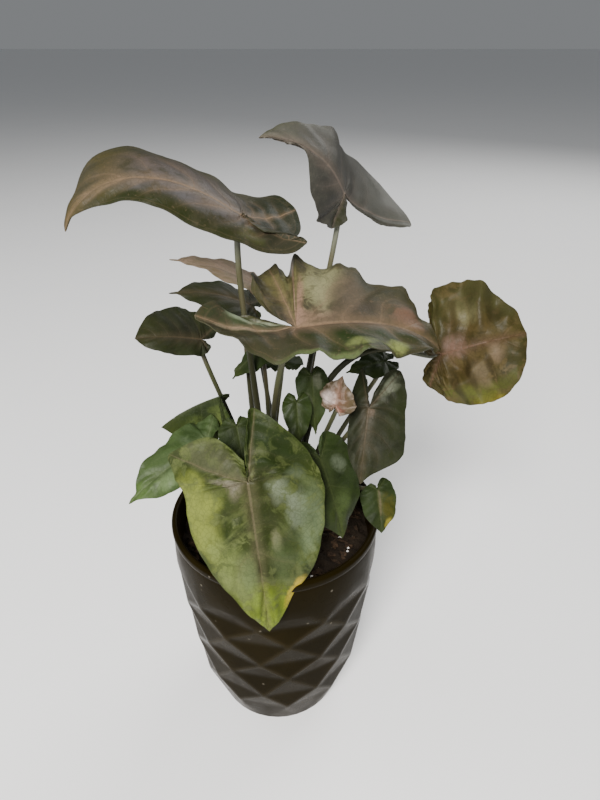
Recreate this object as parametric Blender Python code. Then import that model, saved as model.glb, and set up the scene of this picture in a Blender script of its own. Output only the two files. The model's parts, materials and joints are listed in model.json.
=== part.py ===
"""An arrowhead plant in a faceted plastic pot: pot, soil, and for each leaf a blade and its petiole.

Lengths in the tables are millimetres and angles are degrees. The origin is the middle of the pot's foot,
+Z is up and the side seen in the photo faces -Y.
"""

import math

import bmesh
import bpy
import numpy as np
from mathutils import Vector

MM = 0.001
GAP = 0.3  # clearance between pieces that would otherwise touch

# Pot: a moulded plastic pot with a smooth upper band, a rounded lip and a faceted lower body.
RIM_RADIUS = 56.0
RIM_HEIGHT = 134.0
LIP_HEIGHT = 5.0
LIP_WIDTH = 3.4
FOOT_RADIUS = 37.5
FLOOR_THICKNESS = 2.5
FACET_COUNT = 10
FACET_SWING = 8.0  # degrees that each ring of corners is turned to the left or right
SMOOTH_SIDES = 40
# Height and radius of each ring of facet corners, from the top one down to the bottom chamfer.
FACET_RINGS = ((101.0, 55.6), (87.0, 54.4), (70.0, 52.6), (56.0, 51.0), (38.0, 49.0), (24.0, 46.4))
# Height and radius of the inner wall, from the floor up to the lip.
INNER_WALL = ((FLOOR_THICKNESS, 35.5), (24.0, 42.4), (RIM_HEIGHT - 4.0, 52.4))

# Soil
SOIL_TOP = 121.0
SOIL_BUMP = 1.6

# Leaves
BLADE_THICKNESS = 0.7
PETIOLE_DEPTH = 14.0  # how far each petiole goes into the soil
PETIOLE_SIDES = 6
PETIOLE_STEPS = 9
SPINE_STEPS = 48
ROWS_TO_JUNCTION = 4  # outline spans between the tip and the widest place of the blade

LEAF_DEFAULTS = dict(
    width=(18, 18),  # from the midrib to the margin, on the left and on the right seen from above
    lobe=(14, 14),  # length of each basal lobe from the petiole
    spread=(42, 42),  # angle of each lobe to the line that runs straight back from the midrib
    notch=(10, 10),  # half the opening angle of the notch at the petiole
    notch_depth=0.35,  # share of the lobe's length where the notch's margin starts
    bulge=(0.09, 0.09),  # how far the margin swells out between the widest place and the lobe's tip
    middle=(0.6, 0.6),  # share of the full width at three fifths of the length
    near_tip=(0.15, 0.15),  # share of the full width close to the tip
    fold=(0, 0),  # each half's rise from the midrib
    curl=(12, 12),  # how much each half bends down towards its margin
    bow=25,  # total bend of the midrib
    bow_bias=1.3,  # over 1, the bend is stronger towards the tip
    lobe_bend=(5, 5),  # how much each lobe bends down
    wave=0.8,  # height of the waves along the margin
    waves=5,
    phase=0.0,
    roll=0,  # turn about the midrib, positive lowers the left half
    twist=0,  # extra turn towards the tip, positive raises the left half
    detail=(3, 2),  # outline points per span, and strips between midrib and margin
    radius=(1.7, 1.15),  # petiole at the soil and at the blade
    rise=(40, 9),  # how far the petiole keeps its direction at the soil and at the blade
    approach=None,  # direction in which the petiole reaches the blade, square to it when left out
)

# Each leaf: where its petiole leaves the soil, where the petiole meets the blade, and where the tip is.
LEAVES = {
    "upper_left": dict(
        foot=(-4, 3), base=(-11, 0, 292), tip=(-80, -12, 288),
        width=(17, 28), lobe=(30, 42), spread=(10, 62), bulge=(0.09, 0.25), middle=(0.6, 0.84), near_tip=(0.2, 0.36),
        fold=(-18, 4), curl=(20, 15), bow=108, bow_bias=1.7, lobe_bend=(-50, -45), roll=5, twist=-20,
        waves=4, wave=1.2, detail=(3, 3), radius=(2.1, 1.35), rise=(70, 20), approach=(0.3, -0.1, 1.0),
    ),
    "upper_right": dict(
        foot=(9, 8), base=(33, 20, 296), tip=(-3, 8, 320),
        width=(17, 32), lobe=(15, 58), spread=(62, 14), bulge=(0.09, 0.2), middle=(0.3, 0.36), near_tip=(0.08, 0.12),
        fold=(-32, 2), curl=(5, 15), bow=90, bow_bias=1.6, lobe_bend=(-30, -55), roll=44,
        wave=1.2, detail=(3, 3), radius=(2.1, 1.25), rise=(70, 42), approach=(0.05, -0.35, 1.0),
    ),
    "centre": dict(
        foot=(-1, -4), base=(12, -28, 254), tip=(72, -24, 242),
        width=(38, 20), lobe=(44, 41), spread=(74, 8), notch=(30, -12), middle=(0.7, 0.88), near_tip=(0.42, 0.5),
        fold=(8, 8), curl=(15, 10), bow=60, bow_bias=1.8, lobe_bend=(-90, -55), roll=-14,
        wave=1.5, detail=(3, 3), radius=(2.1, 1.35), rise=(60, 26), approach=(0.45, -0.1, 0.88),
    ),
    "right": dict(
        foot=(12, -2), base=(78, -5, 230), tip=(114, -8, 242),
        width=(29, 25), lobe=(17, 16), spread=(85, 60), middle=(0.95, 1.0), near_tip=(0.5, 0.6),
        curl=(10, 20), bow=50, roll=-55, wave=1.8, detail=(3, 3), radius=(2.0, 1.3), rise=(150, 28), approach=(0.2, -0.75, 0.65),
    ),
    "front": dict(
        foot=(-5, -10), base=(-9, -48, 190), tip=(-1, -63, 112),
        width=(34, 30), lobe=(31, 29), spread=(20, 58), middle=(0.72, 0.72), near_tip=(0.28, 0.28),
        fold=(-8, -8), curl=(10, 26), bow=20, lobe_bend=(0, 10), roll=-18, detail=(3, 3), radius=(2.0, 1.3),
        rise=(45, 10),
    ),
    "low_left": dict(
        foot=(-11, -6), base=(-31, -18, 190), tip=(-65, -40, 171),
        width=(15, 13), middle=(0.7, 0.7), near_tip=(0.2, 0.2), fold=(-10, 20), curl=(15, 15), bow=30, roll=10,
    ),
    "left_folded": dict(
        foot=(-11, 2), base=(-26, 0, 205), tip=(-54, -8, 192),
        width=(20, 9), lobe=(17, 8), spread=(100, 50), notch=(80, 10), middle=(0.8, 0.8),
        fold=(-58, -50), curl=(10, 20), bow=30, roll=10, radius=(1.6, 0.8),
    ),
    "mid_left": dict(
        foot=(-9, 8), base=(-33, 5, 233), tip=(-61, -5, 238),
        width=(9, 17), lobe=(7, 12), spread=(60, 45), middle=(0.9, 0.9), near_tip=(0.5, 0.5), bow=30, roll=35,
    ),
    "dark_left": dict(
        foot=(-9, 15), base=(-11, 19, 245), tip=(-46, 7, 255),
        width=(12, 11), lobe=(9, 13), middle=(0.75, 0.75), bow=40, roll=22,
    ),
    "pale_left": dict(
        foot=(4, 14), base=(-10, 42, 247), tip=(-50, 34, 262),
        width=(9, 13), lobe=(7, 12), bow=30, roll=12,
    ),
    "inner_left": dict(
        foot=(-2, 10), base=(-6, 13, 223), tip=(-20, 8, 210),
        width=(8.5, 5), lobe=(6, 4), bow=30, roll=20, detail=(2, 2),
    ),
    "small_front": dict(
        foot=(-8, -14), base=(-16, -18, 199), tip=(-12, -30, 180),
        width=(9, 9), lobe=(6, 6), bow=20, detail=(2, 2),
    ),
    "small_centre": dict(
        foot=(3, -12), base=(12, -13, 209), tip=(13, -21, 190),
        width=(7, 7), lobe=(6, 6), bow=20, detail=(2, 2),
    ),
    "front_right": dict(
        foot=(9, -13), base=(23, -25, 186), tip=(34, -38, 148),
        width=(19, 16), middle=(0.8, 0.8), near_tip=(0.25, 0.25), fold=(-5, -5), curl=(10, 30), bow=20, roll=-8,
    ),
    "hanging_right": dict(
        foot=(14, -8), base=(46, -10, 204), tip=(42, -27, 172),
        width=(18, 9), lobe=(24, 20), spread=(32, 18), middle=(0.85, 0.85), near_tip=(0.25, 0.25),
        fold=(-10, -10), bow=20,
    ),
    "rim_right": dict(
        foot=(18, -3), base=(53, -12, 156), tip=(55, -24, 138),
        width=(9.5, 9), lobe=(8, 5), middle=(0.8, 0.8), near_tip=(0.3, 0.3), bow=20, detail=(2, 2),
    ),
    "pink_young": dict(
        foot=(15, 4), base=(30, -13, 208), tip=(33, -9, 221),
        width=(7, 7), lobe=(4, 4), bow=20, detail=(2, 2),
    ),
    "streaked": dict(
        foot=(7, 2), base=(19, -4, 218), tip=(21, -13, 191),
        width=(8, 8), lobe=(6, 6), bow=20, detail=(2, 2),
    ),
    "inner_right": dict(
        foot=(19, 9), base=(55, 12, 218), tip=(36, 9, 213),
        width=(11, 11), lobe=(8, 8), bow=20, roll=8, detail=(2, 2),
    ),
    "back_left": dict(
        foot=(-3, 16), base=(4, 36, 204), tip=(0, 60, 197),
        width=(9, 12), lobe=(7, 8), bow=40,
    ),
    "back_right": dict(
        foot=(10, 14), base=(24, 40, 233), tip=(56, 62, 222),
        width=(16, 16), lobe=(16, 16), middle=(0.7, 0.7), bow=45,
    ),
}

# Colour of each leaf's upper face, by the tone that it has in the photo.
TONES = {
    "bronze": (0.135, 0.105, 0.075),
    "purple": (0.105, 0.085, 0.085),
    "olive": (0.210, 0.190, 0.085),
    "green": (0.120, 0.190, 0.065),
    "light_green": (0.230, 0.300, 0.120),
    "pink": (0.420, 0.240, 0.190),
}
LEAF_TONE = {
    "upper_left": "bronze", "upper_right": "purple", "centre": "bronze", "right": "olive",
    "front": "light_green", "mid_left": "olive", "dark_left": "purple", "pale_left": "pink",
    "pink_young": "pink", "rim_right": "olive",
}
PETIOLE_COLOUR = (0.160, 0.175, 0.080)
POT_COLOUR = (0.045, 0.036, 0.018)
SOIL_COLOUR = (0.040, 0.026, 0.018)


def clear_scene():
    for obj in list(bpy.data.objects):
        bpy.data.objects.remove(obj, do_unlink=True)


def make_material(name, colour, roughness):
    material = bpy.data.materials.new(name)
    material.use_nodes = True
    shader = material.node_tree.nodes["Principled BSDF"]
    shader.inputs["Base Color"].default_value = (*colour, 1.0)
    shader.inputs["Roughness"].default_value = roughness
    shader.inputs["Metallic"].default_value = 0.0
    return material


def add_object(name, bm, colour, roughness, parent):
    """Turn the bmesh into a named object with its own material, under the parent."""
    mesh = bpy.data.meshes.new(name)
    bm.to_mesh(mesh)
    bm.free()
    mesh.materials.append(make_material(name, colour, roughness))
    obj = bpy.data.objects.new(name, mesh)
    obj.parent = parent
    bpy.context.scene.collection.objects.link(obj)
    return obj


def ring_of(bm, radius, height, sides, turn=0.0):
    """A level ring of vertices, given in millimetres and degrees, starting at the side that faces -Y."""
    ring = []
    for step in range(sides):
        angle = math.radians(turn - 90.0) + 2.0 * math.pi * step / sides
        point = Vector((radius * math.cos(angle), radius * math.sin(angle), height)) * MM
        ring.append(bm.verts.new(point))
    return ring


def stitch(bm, lower, upper, lower_turn=0.0, upper_turn=0.0):
    """Triangles between two rings that may have different numbers of vertices."""
    low = 0
    high = 0
    while low < len(lower) or high < len(upper):
        low_next = lower_turn + 360.0 * (low + 0.5) / len(lower)
        high_next = upper_turn + 360.0 * (high + 0.5) / len(upper)
        a = lower[low % len(lower)]
        b = upper[high % len(upper)]
        if high >= len(upper) or (low < len(lower) and low_next <= high_next):
            bm.faces.new((a, lower[(low + 1) % len(lower)], b))
            low += 1
        else:
            bm.faces.new((a, upper[(high + 1) % len(upper)], b))
            high += 1


def build_pot(parent):
    """One wall of revolution: foot, faceted body, smooth band, rounded lip, inner wall and floor."""
    bm = bmesh.new()
    foot = ring_of(bm, FOOT_RADIUS, 0.0, SMOOTH_SIDES)
    bm.faces.new(list(reversed(foot)))
    below, below_turn = foot, 0.0
    for index, (height, radius) in enumerate(reversed(FACET_RINGS)):
        turn = FACET_SWING if index % 2 == 0 else -FACET_SWING
        ring = ring_of(bm, radius, height, FACET_COUNT, turn)
        stitch(bm, below, ring, below_turn, turn)
        below, below_turn = ring, turn
    lip_foot = RIM_HEIGHT - LIP_HEIGHT
    profile = [(lip_foot - 18.0, RIM_RADIUS - 0.2), (lip_foot, RIM_RADIUS - 0.7), (lip_foot + 0.5, RIM_RADIUS)]
    lip_middle = RIM_RADIUS - LIP_WIDTH / 2.0
    for step in range(5):
        angle = math.pi * step / 4.0
        rise = LIP_WIDTH / 2.0 * math.sin(angle)
        profile.append((RIM_HEIGHT - LIP_WIDTH / 2.0 + rise, lip_middle + LIP_WIDTH / 2.0 * math.cos(angle)))
    profile += list(reversed(INNER_WALL))
    for height, radius in profile:
        ring = ring_of(bm, radius, height, SMOOTH_SIDES)
        stitch(bm, below, ring, below_turn, 0.0)
        below, below_turn = ring, 0.0
    bm.faces.new(below)
    bmesh.ops.recalc_face_normals(bm, faces=bm.faces)
    return add_object("pot", bm, POT_COLOUR, 0.32, parent)


def inner_radius(height):
    """Radius of the pot's inner wall at a height, in millimetres."""
    heights = [height_radius[0] for height_radius in INNER_WALL]
    radii = [height_radius[1] for height_radius in INNER_WALL]
    return float(np.interp(height, heights, radii))


def build_soil(parent):
    """The root ball: a tapered plug with an uneven top and a plain hole for each petiole."""
    bm = bmesh.new()
    sides = 30
    floor = FLOOR_THICKNESS + GAP
    below = ring_of(bm, inner_radius(floor) - GAP, floor, sides)
    bm.faces.new(list(reversed(below)))
    edge = SOIL_TOP - 2.5
    for height in (INNER_WALL[1][0], edge):
        ring = ring_of(bm, inner_radius(height) - GAP, height, sides)
        stitch(bm, below, ring)
        below = ring
    for share in (0.86, 0.7, 0.52, 0.34, 0.16):
        radius = (inner_radius(edge) - GAP) * share
        ring = ring_of(bm, radius, SOIL_TOP, sides)
        for vertex in ring:
            x, y = vertex.co.x / MM, vertex.co.y / MM
            bump = math.sin(0.31 * x + 1.0) * math.cos(0.27 * y) + 0.5 * math.sin(0.7 * y + 0.5 * x)
            vertex.co.z += SOIL_BUMP * 0.5 * bump * MM
        stitch(bm, below, ring)
        below = ring
    bm.faces.new(below)
    bmesh.ops.recalc_face_normals(bm, faces=bm.faces)
    soil = add_object("soil", bm, SOIL_COLOUR, 0.95, parent)
    holes = build_hole_cutters(parent)
    cut = soil.modifiers.new("petiole_holes", "BOOLEAN")
    cut.operation = "DIFFERENCE"
    cut.solver = "EXACT"
    cut.object = holes
    return soil


def build_hole_cutters(parent):
    bm = bmesh.new()
    for leaf in LEAVES.values():
        leaf = {**LEAF_DEFAULTS, **leaf}
        x, y = leaf["foot"]
        radius = leaf["radius"][0] / math.cos(math.pi / 8) + GAP
        bottom = SOIL_TOP - PETIOLE_DEPTH - GAP
        top = SOIL_TOP + 8.0
        made = bmesh.ops.create_cone(
            bm, cap_ends=True, segments=8, radius1=radius * MM, radius2=radius * MM, depth=(top - bottom) * MM
        )
        bmesh.ops.translate(bm, verts=made["verts"], vec=Vector((x, y, (top + bottom) / 2.0)) * MM)
    mesh = bpy.data.meshes.new("petiole_hole_cutters")
    bm.to_mesh(mesh)
    bm.free()
    cutters = bpy.data.objects.new("petiole_hole_cutters", mesh)
    cutters.parent = parent
    cutters.hide_render = True
    cutters.display_type = "WIRE"
    bpy.context.scene.collection.objects.link(cutters)
    return cutters


def leaf_axes(leaf):
    """Directions along the midrib, to the leaf's left and out of its upper face."""
    base = np.array(leaf["base"], float)
    along = np.array(leaf["tip"], float) - base
    along /= np.linalg.norm(along)
    up = np.array((0.0, 0.0, 1.0)) - along * along[2]
    up /= np.linalg.norm(up)
    left = np.cross(up, along)
    roll = math.radians(leaf["roll"])
    up = up * math.cos(roll) + left * math.sin(roll)
    return along, np.cross(up, along), up


def midrib_arc(bow, bias):
    """A curve of length 1 that bends down by bow, turned so that its end lies on the x axis."""
    share = (np.arange(SPINE_STEPS) + 0.5) / SPINE_STEPS
    angle = -bow * share**bias
    x = np.concatenate(([0.0], np.cumsum(np.cos(angle)))) / SPINE_STEPS
    z = np.concatenate(([0.0], np.cumsum(np.sin(angle)))) / SPINE_STEPS
    start = math.atan2(-z[-1], x[-1])
    turned_x = x * math.cos(start) - z * math.sin(start)
    turned_z = x * math.sin(start) + z * math.cos(start)
    return start, turned_x, turned_z


def half_outline(length, leaf, side):
    """Guide points of one margin, from the tip over the widest place and the lobe to the notch."""
    width = leaf["width"][side]
    lobe = leaf["lobe"][side]
    spread = math.radians(leaf["spread"][side])
    notch = math.radians(leaf["notch"][side])
    middle = leaf["middle"][side]
    lobe_tip = np.array((-lobe * math.cos(spread), lobe * math.sin(spread)))
    widest = np.array((0.06 * length, width))
    chord = lobe_tip - widest
    outward = np.array((chord[1], -chord[0]))
    outward *= math.copysign(leaf["bulge"][side], outward[1])
    inner_turn = (spread + notch) / 2.2
    return np.array((
        (length, 0.0),
        (0.87 * length, leaf["near_tip"][side] * width),
        (0.62 * length, middle * width),
        (0.34 * length, (0.35 * middle + 0.72) * width),
        widest,
        (widest + lobe_tip) / 2.0 + outward,
        lobe_tip,
        (-0.78 * lobe * math.cos(inner_turn), 0.78 * lobe * math.sin(inner_turn)),
        (-leaf["notch_depth"] * lobe * math.cos(notch), leaf["notch_depth"] * lobe * math.sin(notch)),
    ))


def smooth_line(points, spans):
    """A Catmull-Rom curve through the points, with the given number of steps per span."""
    ends = np.vstack((2 * points[0] - points[1], points, 2 * points[-1] - points[-2]))
    line = []
    for index in range(len(points) - 1):
        a, b, c, d = ends[index : index + 4]
        for step in range(spans):
            t = step / spans
            line.append(0.5 * (2 * b + (c - a) * t + (2 * a - 5 * b + 4 * c - d) * t**2 + (3 * b - a - 3 * c + d) * t**3))
    line.append(points[-1])
    return np.array(line)


def half_blade(leaf, side):
    """Points of one half of the blade in the leaf's own axes: rows from tip to notch, columns to the margin."""
    sign = 1.0 if side == 0 else -1.0
    spans, strips = leaf["detail"]
    bow = math.radians(leaf["bow"])
    start, arc_x, arc_z = midrib_arc(bow, leaf["bow_bias"])
    chord = np.linalg.norm(np.array(leaf["tip"], float) - np.array(leaf["base"], float))
    length = chord / arc_x[-1]
    margin = smooth_line(half_outline(length, leaf, side), spans)
    rows = len(margin)
    row = np.arange(rows)[:, None]
    out = np.arange(strips + 1)[None, :] / strips
    root = length * (1.0 - np.minimum(1.0, row / (ROWS_TO_JUNCTION * spans)))
    x = root + (margin[:, :1] - root) * out
    y = margin[:, 1:] * out
    share = row / (rows - 1)
    fade = np.minimum(1.0, share / 0.15) * np.minimum(1.0, (1.0 - share) / 0.1)
    turns = 2.0 * math.pi * leaf["waves"] * share + leaf["phase"] + 2.1 * side
    wave = leaf["wave"] * np.sin(turns) * out**2.2 * fade
    fold = math.radians(leaf["fold"][side])
    curl = math.radians(leaf["curl"][side]) / leaf["width"][side]
    slope = fold - curl * y
    across = (math.sin(fold) - np.sin(slope)) / curl
    rise = (np.cos(slope) - math.cos(fold)) / curl + wave
    ahead = np.clip(x / length, 0.0, 1.0)
    behind = np.minimum(x, 0.0)
    lobe_curl = math.radians(leaf["lobe_bend"][side] or 0.01) / leaf["lobe"][side]
    lobe_angle = start - lobe_curl * behind
    lobe_x = (np.sin(lobe_angle) - math.sin(start)) / -lobe_curl
    lobe_z = (np.cos(lobe_angle) - math.cos(start)) / lobe_curl
    grid = np.linspace(0.0, 1.0, SPINE_STEPS + 1)
    on_blade = x >= 0.0
    spine_x = np.where(on_blade, np.interp(ahead, grid, arc_x) * length, lobe_x)
    spine_z = np.where(on_blade, np.interp(ahead, grid, arc_z) * length, lobe_z)
    angle = np.where(on_blade, start - bow * ahead ** leaf["bow_bias"], lobe_angle)
    twist = math.radians(leaf["twist"]) * ahead * sign
    turned_across = across * np.cos(twist) - rise * np.sin(twist)
    turned_rise = across * np.sin(twist) + rise * np.cos(twist)
    return np.stack((
        spine_x - turned_rise * np.sin(angle),
        sign * turned_across,
        spine_z + turned_rise * np.cos(angle),
    ), axis=-1)


def build_blade(name, leaf, parent):
    """A thin blade: both halves share the midrib, and the lobes fan out round the petiole."""
    bm = bmesh.new()
    halves = [half_blade(leaf, side) for side in (0, 1)]
    rows, columns = halves[0].shape[:2]
    junction_row = ROWS_TO_JUNCTION * leaf["detail"][0]
    shared = {}
    for side, points in enumerate(halves):
        grid = []
        for row in range(rows):
            line = []
            for column in range(columns):
                if row == 0:
                    key = "tip"
                elif column == 0:
                    key = ("midrib", min(row, junction_row))
                else:
                    key = (side, row, column)
                if key not in shared:
                    shared[key] = bm.verts.new(Vector(points[row, column]) * MM)
                line.append(shared[key])
            grid.append(line)
        for row in range(rows - 1):
            for column in range(columns - 1):
                corners = (grid[row][column], grid[row + 1][column], grid[row + 1][column + 1], grid[row][column + 1])
                for triangle in ((0, 1, 2), (0, 2, 3)):
                    chosen = [corners[corner] for corner in triangle]
                    if len(set(chosen)) < 3:
                        continue
                    if side == 0:
                        chosen.reverse()
                    bm.faces.new(chosen)
    colour = TONES[LEAF_TONE.get(name, "green")]
    blade = add_object("leaf_" + name, bm, colour, 0.42, parent)
    along, left, up = leaf_axes(leaf)
    from_axes = Vector(along).to_track_quat("X", "Z").to_matrix()
    for index in range(3):
        from_axes[index][0] = along[index]
        from_axes[index][1] = left[index]
        from_axes[index][2] = up[index]
    blade.location = Vector(leaf["base"]) * MM
    blade.rotation_euler = from_axes.to_euler()
    thickness = blade.modifiers.new("thickness", "SOLIDIFY")
    thickness.thickness = BLADE_THICKNESS * MM
    thickness.offset = -1.0
    return blade


def junction_normal(leaf):
    """Direction out of the blade's upper face where the petiole meets it."""
    along, _, up = leaf_axes(leaf)
    start = midrib_arc(math.radians(leaf["bow"]), leaf["bow_bias"])[0]
    return up * math.cos(start) - along * math.sin(start)


def petiole_path(leaf):
    """Middle line of the petiole in millimetres, from its end in the soil to just under the blade."""
    normal = junction_normal(leaf)
    end = np.array(leaf["base"], float) - normal * (BLADE_THICKNESS + GAP + leaf_sag(leaf))
    foot = np.array((*leaf["foot"], SOIL_TOP + 2.0))
    guide_low = foot + np.array((0.0, 0.0, leaf["rise"][0]))
    approach = normal if leaf["approach"] is None else np.array(leaf["approach"], float)
    guide_high = end - approach * leaf["rise"][1]
    points = [np.array((*leaf["foot"], SOIL_TOP - PETIOLE_DEPTH))]
    for step in range(PETIOLE_STEPS + 1):
        t = step / PETIOLE_STEPS
        u = 1.0 - t
        points.append(u**3 * foot + 3 * u**2 * t * guide_low + 3 * u * t**2 * guide_high + t**3 * end)
    return points


def leaf_sag(leaf):
    """How far the blade hangs below its junction within the petiole's own radius."""
    steepest = min(min(leaf["fold"]), 0)
    return leaf["radius"][1] * math.tan(math.radians(-steepest)) + 0.1


def build_petiole(name, leaf, parent):
    bm = bmesh.new()
    points = petiole_path(leaf)
    count = len(points)
    normal = Vector(junction_normal(leaf))
    side_way = Vector((1.0, 0.0, 0.0))
    below = None
    for index, point in enumerate(points):
        before = Vector(points[max(0, index - 1)])
        after = Vector(points[min(count - 1, index + 1)])
        direction = (after - before).normalized()
        side_way = (side_way - direction * side_way.dot(direction)).normalized()
        other_way = direction.cross(side_way)
        share = index / (count - 1)
        radius = leaf["radius"][0] + (leaf["radius"][1] - leaf["radius"][0]) * min(1.0, share * 1.6)
        ring = []
        for step in range(PETIOLE_SIDES):
            angle = 2.0 * math.pi * step / PETIOLE_SIDES
            offset = (side_way * math.cos(angle) + other_way * math.sin(angle)) * radius
            if index == count - 1:
                offset -= direction * (offset.dot(normal) / direction.dot(normal))
            ring.append(bm.verts.new((Vector(point) + offset) * MM))
        if below is None:
            bm.faces.new(list(reversed(ring)))
        else:
            for step in range(PETIOLE_SIDES):
                after_step = (step + 1) % PETIOLE_SIDES
                bm.faces.new((below[step], below[after_step], ring[after_step], ring[step]))
        below = ring
    bm.faces.new(below)
    return add_object("petiole_" + name, bm, PETIOLE_COLOUR, 0.5, parent)


def main():
    clear_scene()
    root = bpy.data.objects.new("arrowhead_plant", None)
    bpy.context.scene.collection.objects.link(root)
    build_pot(root)
    build_soil(root)
    for name, values in LEAVES.items():
        leaf = {**LEAF_DEFAULTS, **values}
        build_blade(name, leaf, root)
        build_petiole(name, leaf, root)


main()
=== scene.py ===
# %% [markdown]
# # An arrowhead plant in a faceted pot
# The plant is a clump of thin leaves on long stalks, in a dark plastic pot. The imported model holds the
# true sizes, so it is loaded first and every piece below is laid over its node. Lengths in the tables are
# in millimetres and become metres where a mesh is made, because Blender's own unit here is the metre.

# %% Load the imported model
import json
import math
import random

import bpy
import numpy as np
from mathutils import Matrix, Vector, noise
from mathutils.bvhtree import BVHTree


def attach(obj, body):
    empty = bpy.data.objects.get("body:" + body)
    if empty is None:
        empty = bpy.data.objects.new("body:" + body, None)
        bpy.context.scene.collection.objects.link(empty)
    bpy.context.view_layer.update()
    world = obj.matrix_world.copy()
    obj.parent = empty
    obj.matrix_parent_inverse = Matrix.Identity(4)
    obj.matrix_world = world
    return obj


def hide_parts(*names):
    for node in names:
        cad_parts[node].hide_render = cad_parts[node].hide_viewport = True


MM = 0.001
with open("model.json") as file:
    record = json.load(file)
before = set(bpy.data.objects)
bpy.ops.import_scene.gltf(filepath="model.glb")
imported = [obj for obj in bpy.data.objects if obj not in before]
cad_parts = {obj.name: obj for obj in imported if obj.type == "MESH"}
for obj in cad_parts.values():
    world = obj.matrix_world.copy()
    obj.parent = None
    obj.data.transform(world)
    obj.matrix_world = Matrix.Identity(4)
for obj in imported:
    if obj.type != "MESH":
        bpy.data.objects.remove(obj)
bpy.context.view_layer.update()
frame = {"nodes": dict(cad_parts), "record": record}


# %% [markdown]
# ## Camera and light
# The photo was taken from a little above, close to the plant, with a flash beside the lens. The camera
# stands at that place. A broad soft lamp above it and a little to the left gives the same direction of
# light with softer shadows. Two weaker lamps, at the left and behind, open up the far side.

# %% Camera
LENS = 27.0
CAMERA_PLACE = (0.0135, -0.251, 0.3535)
CAMERA_PITCH = 31.0

bpy.ops.object.select_all(action="DESELECT")
bpy.ops.object.camera_add(location=CAMERA_PLACE, rotation=(math.radians(90.0 - CAMERA_PITCH), 0.0, 0.0))
camera = bpy.context.object
camera.data.lens = LENS
camera.data.sensor_width = 36.0
bpy.context.scene.camera = camera
print("camera looks down by", CAMERA_PITCH, "degrees")


# %% Lamps and the pale air round the plant
PLANT_MIDDLE = Vector((0.0, 0.0, 0.2))


def add_lamp(name, place, size, power, colour):
    """A square soft lamp that faces the plant."""
    bpy.ops.object.light_add(type="AREA", location=place)
    lamp = bpy.context.object
    lamp.name = name
    lamp.rotation_euler = (PLANT_MIDDLE - Vector(place)).to_track_quat("-Z", "Y").to_euler()
    lamp.data.size = size
    lamp.data.energy = power
    lamp.data.color = colour


add_lamp("key_lamp", (-0.30, -1.18, 1.15), 0.55, 68.0, (1.0, 0.975, 0.94))
add_lamp("left_lamp", (-1.1, 0.3, 1.2), 1.0, 4.0, (0.95, 0.97, 1.0))
add_lamp("back_lamp", (0.9, 1.2, 1.3), 1.2, 20.0, (1.0, 0.99, 0.97))

world = bpy.data.worlds.new("pale_room")
bpy.context.scene.world = world
world.use_nodes = True
world.node_tree.nodes["Background"].inputs["Color"].default_value = (0.80, 0.83, 0.86, 1.0)
world.node_tree.nodes["Background"].inputs["Strength"].default_value = 0.26


# %% [markdown]
# ## Small helpers for the materials
# A material is a tree of nodes. Short helpers keep the trees readable: they add a node, do a sum, mix
# colours, lay one colour over another, and start and end a material.

# %% Node helpers
def set_inputs(tree, node, inputs):
    """Gives each named input a number, a colour or the output socket of another node."""
    for key, value in inputs.items():
        if isinstance(value, bpy.types.NodeSocket):
            tree.links.new(value, node.inputs[key])
        else:
            node.inputs[key].default_value = value


def add_node(tree, kind, inputs=None, **settings):
    """Adds a shader node with its settings and inputs."""
    node = tree.nodes.new("ShaderNode" + kind)
    for name, value in settings.items():
        setattr(node, name, value)
    set_inputs(tree, node, inputs or {})
    return node


def sum_of(tree, operation, first, second=0.0):
    """One Math node."""
    return add_node(tree, "Math", {0: first, 1: second}, operation=operation).outputs[0]


def times(tree, first, second):
    """The product of two values."""
    return sum_of(tree, "MULTIPLY", first, second)


def mix_colours(tree, factor, first, second):
    """One colour over another, by a mask."""
    node = add_node(tree, "Mix", {0: factor, 6: first, 7: second}, data_type="RGBA")
    node.clamp_factor = True
    return node.outputs[2]


def lay_over(tree, tone, *layers):
    """Lays colours over a tone in turn. Each layer is a mask, how much of it counts, and the colour."""
    for mask, strength, colour in layers:
        tone = mix_colours(tree, times(tree, mask, strength), tone, colour)
    return tone


def soft_step(tree, value, low, high, at_low=0.0, at_high=1.0):
    """A smooth change from one value to another."""
    inputs = {"Value": value, "From Min": low, "From Max": high, "To Min": at_low, "To Max": at_high}
    return add_node(tree, "MapRange", inputs, interpolation_type="SMOOTHSTEP").outputs[0]


def cloud(tree, vector, scale, detail=3.0, rough=0.55, seed=0.0):
    """Soft noise from 0 to 1. The seed moves the pattern, so that no two pieces look alike."""
    shift = (seed, seed * 0.7, seed * 1.3)
    moved = add_node(tree, "VectorMath", {0: vector, 1: shift}, operation="ADD").outputs[0]
    inputs = {"Vector": moved, "Scale": scale, "Detail": detail, "Roughness": rough}
    return add_node(tree, "TexNoise", inputs).outputs["Fac"]


def attribute(tree, name):
    """A number that the mesh carries at each vertex."""
    return add_node(tree, "Attribute", attribute_name=name).outputs["Fac"]


def rgb(red, green, blue):
    """A colour. Its linear parts are written in thousandths."""
    return (red / 1000, green / 1000, blue / 1000, 1.0)


def start_finish(name):
    """A new material. Returns it with its tree and the place on the piece, which drives its patterns."""
    finish = bpy.data.materials.new(name)
    finish.use_nodes = True
    tree = finish.node_tree
    return finish, tree, add_node(tree, "TexCoord").outputs["Object"]


def end_finish(tree, tone, roughness, specular, height, strength, depth):
    """Gives the shader its colour, its shine and a bump of this strength and depth in millimetres."""
    bump = add_node(tree, "Bump", {"Strength": strength, "Distance": depth * MM, "Height": height})
    set_inputs(tree, tree.nodes["Principled BSDF"], {
        "Base Color": tone, "Roughness": roughness, "Specular IOR Level": specular,
        "Normal": bump.outputs["Normal"],
    })


print("helpers ready")


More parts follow.
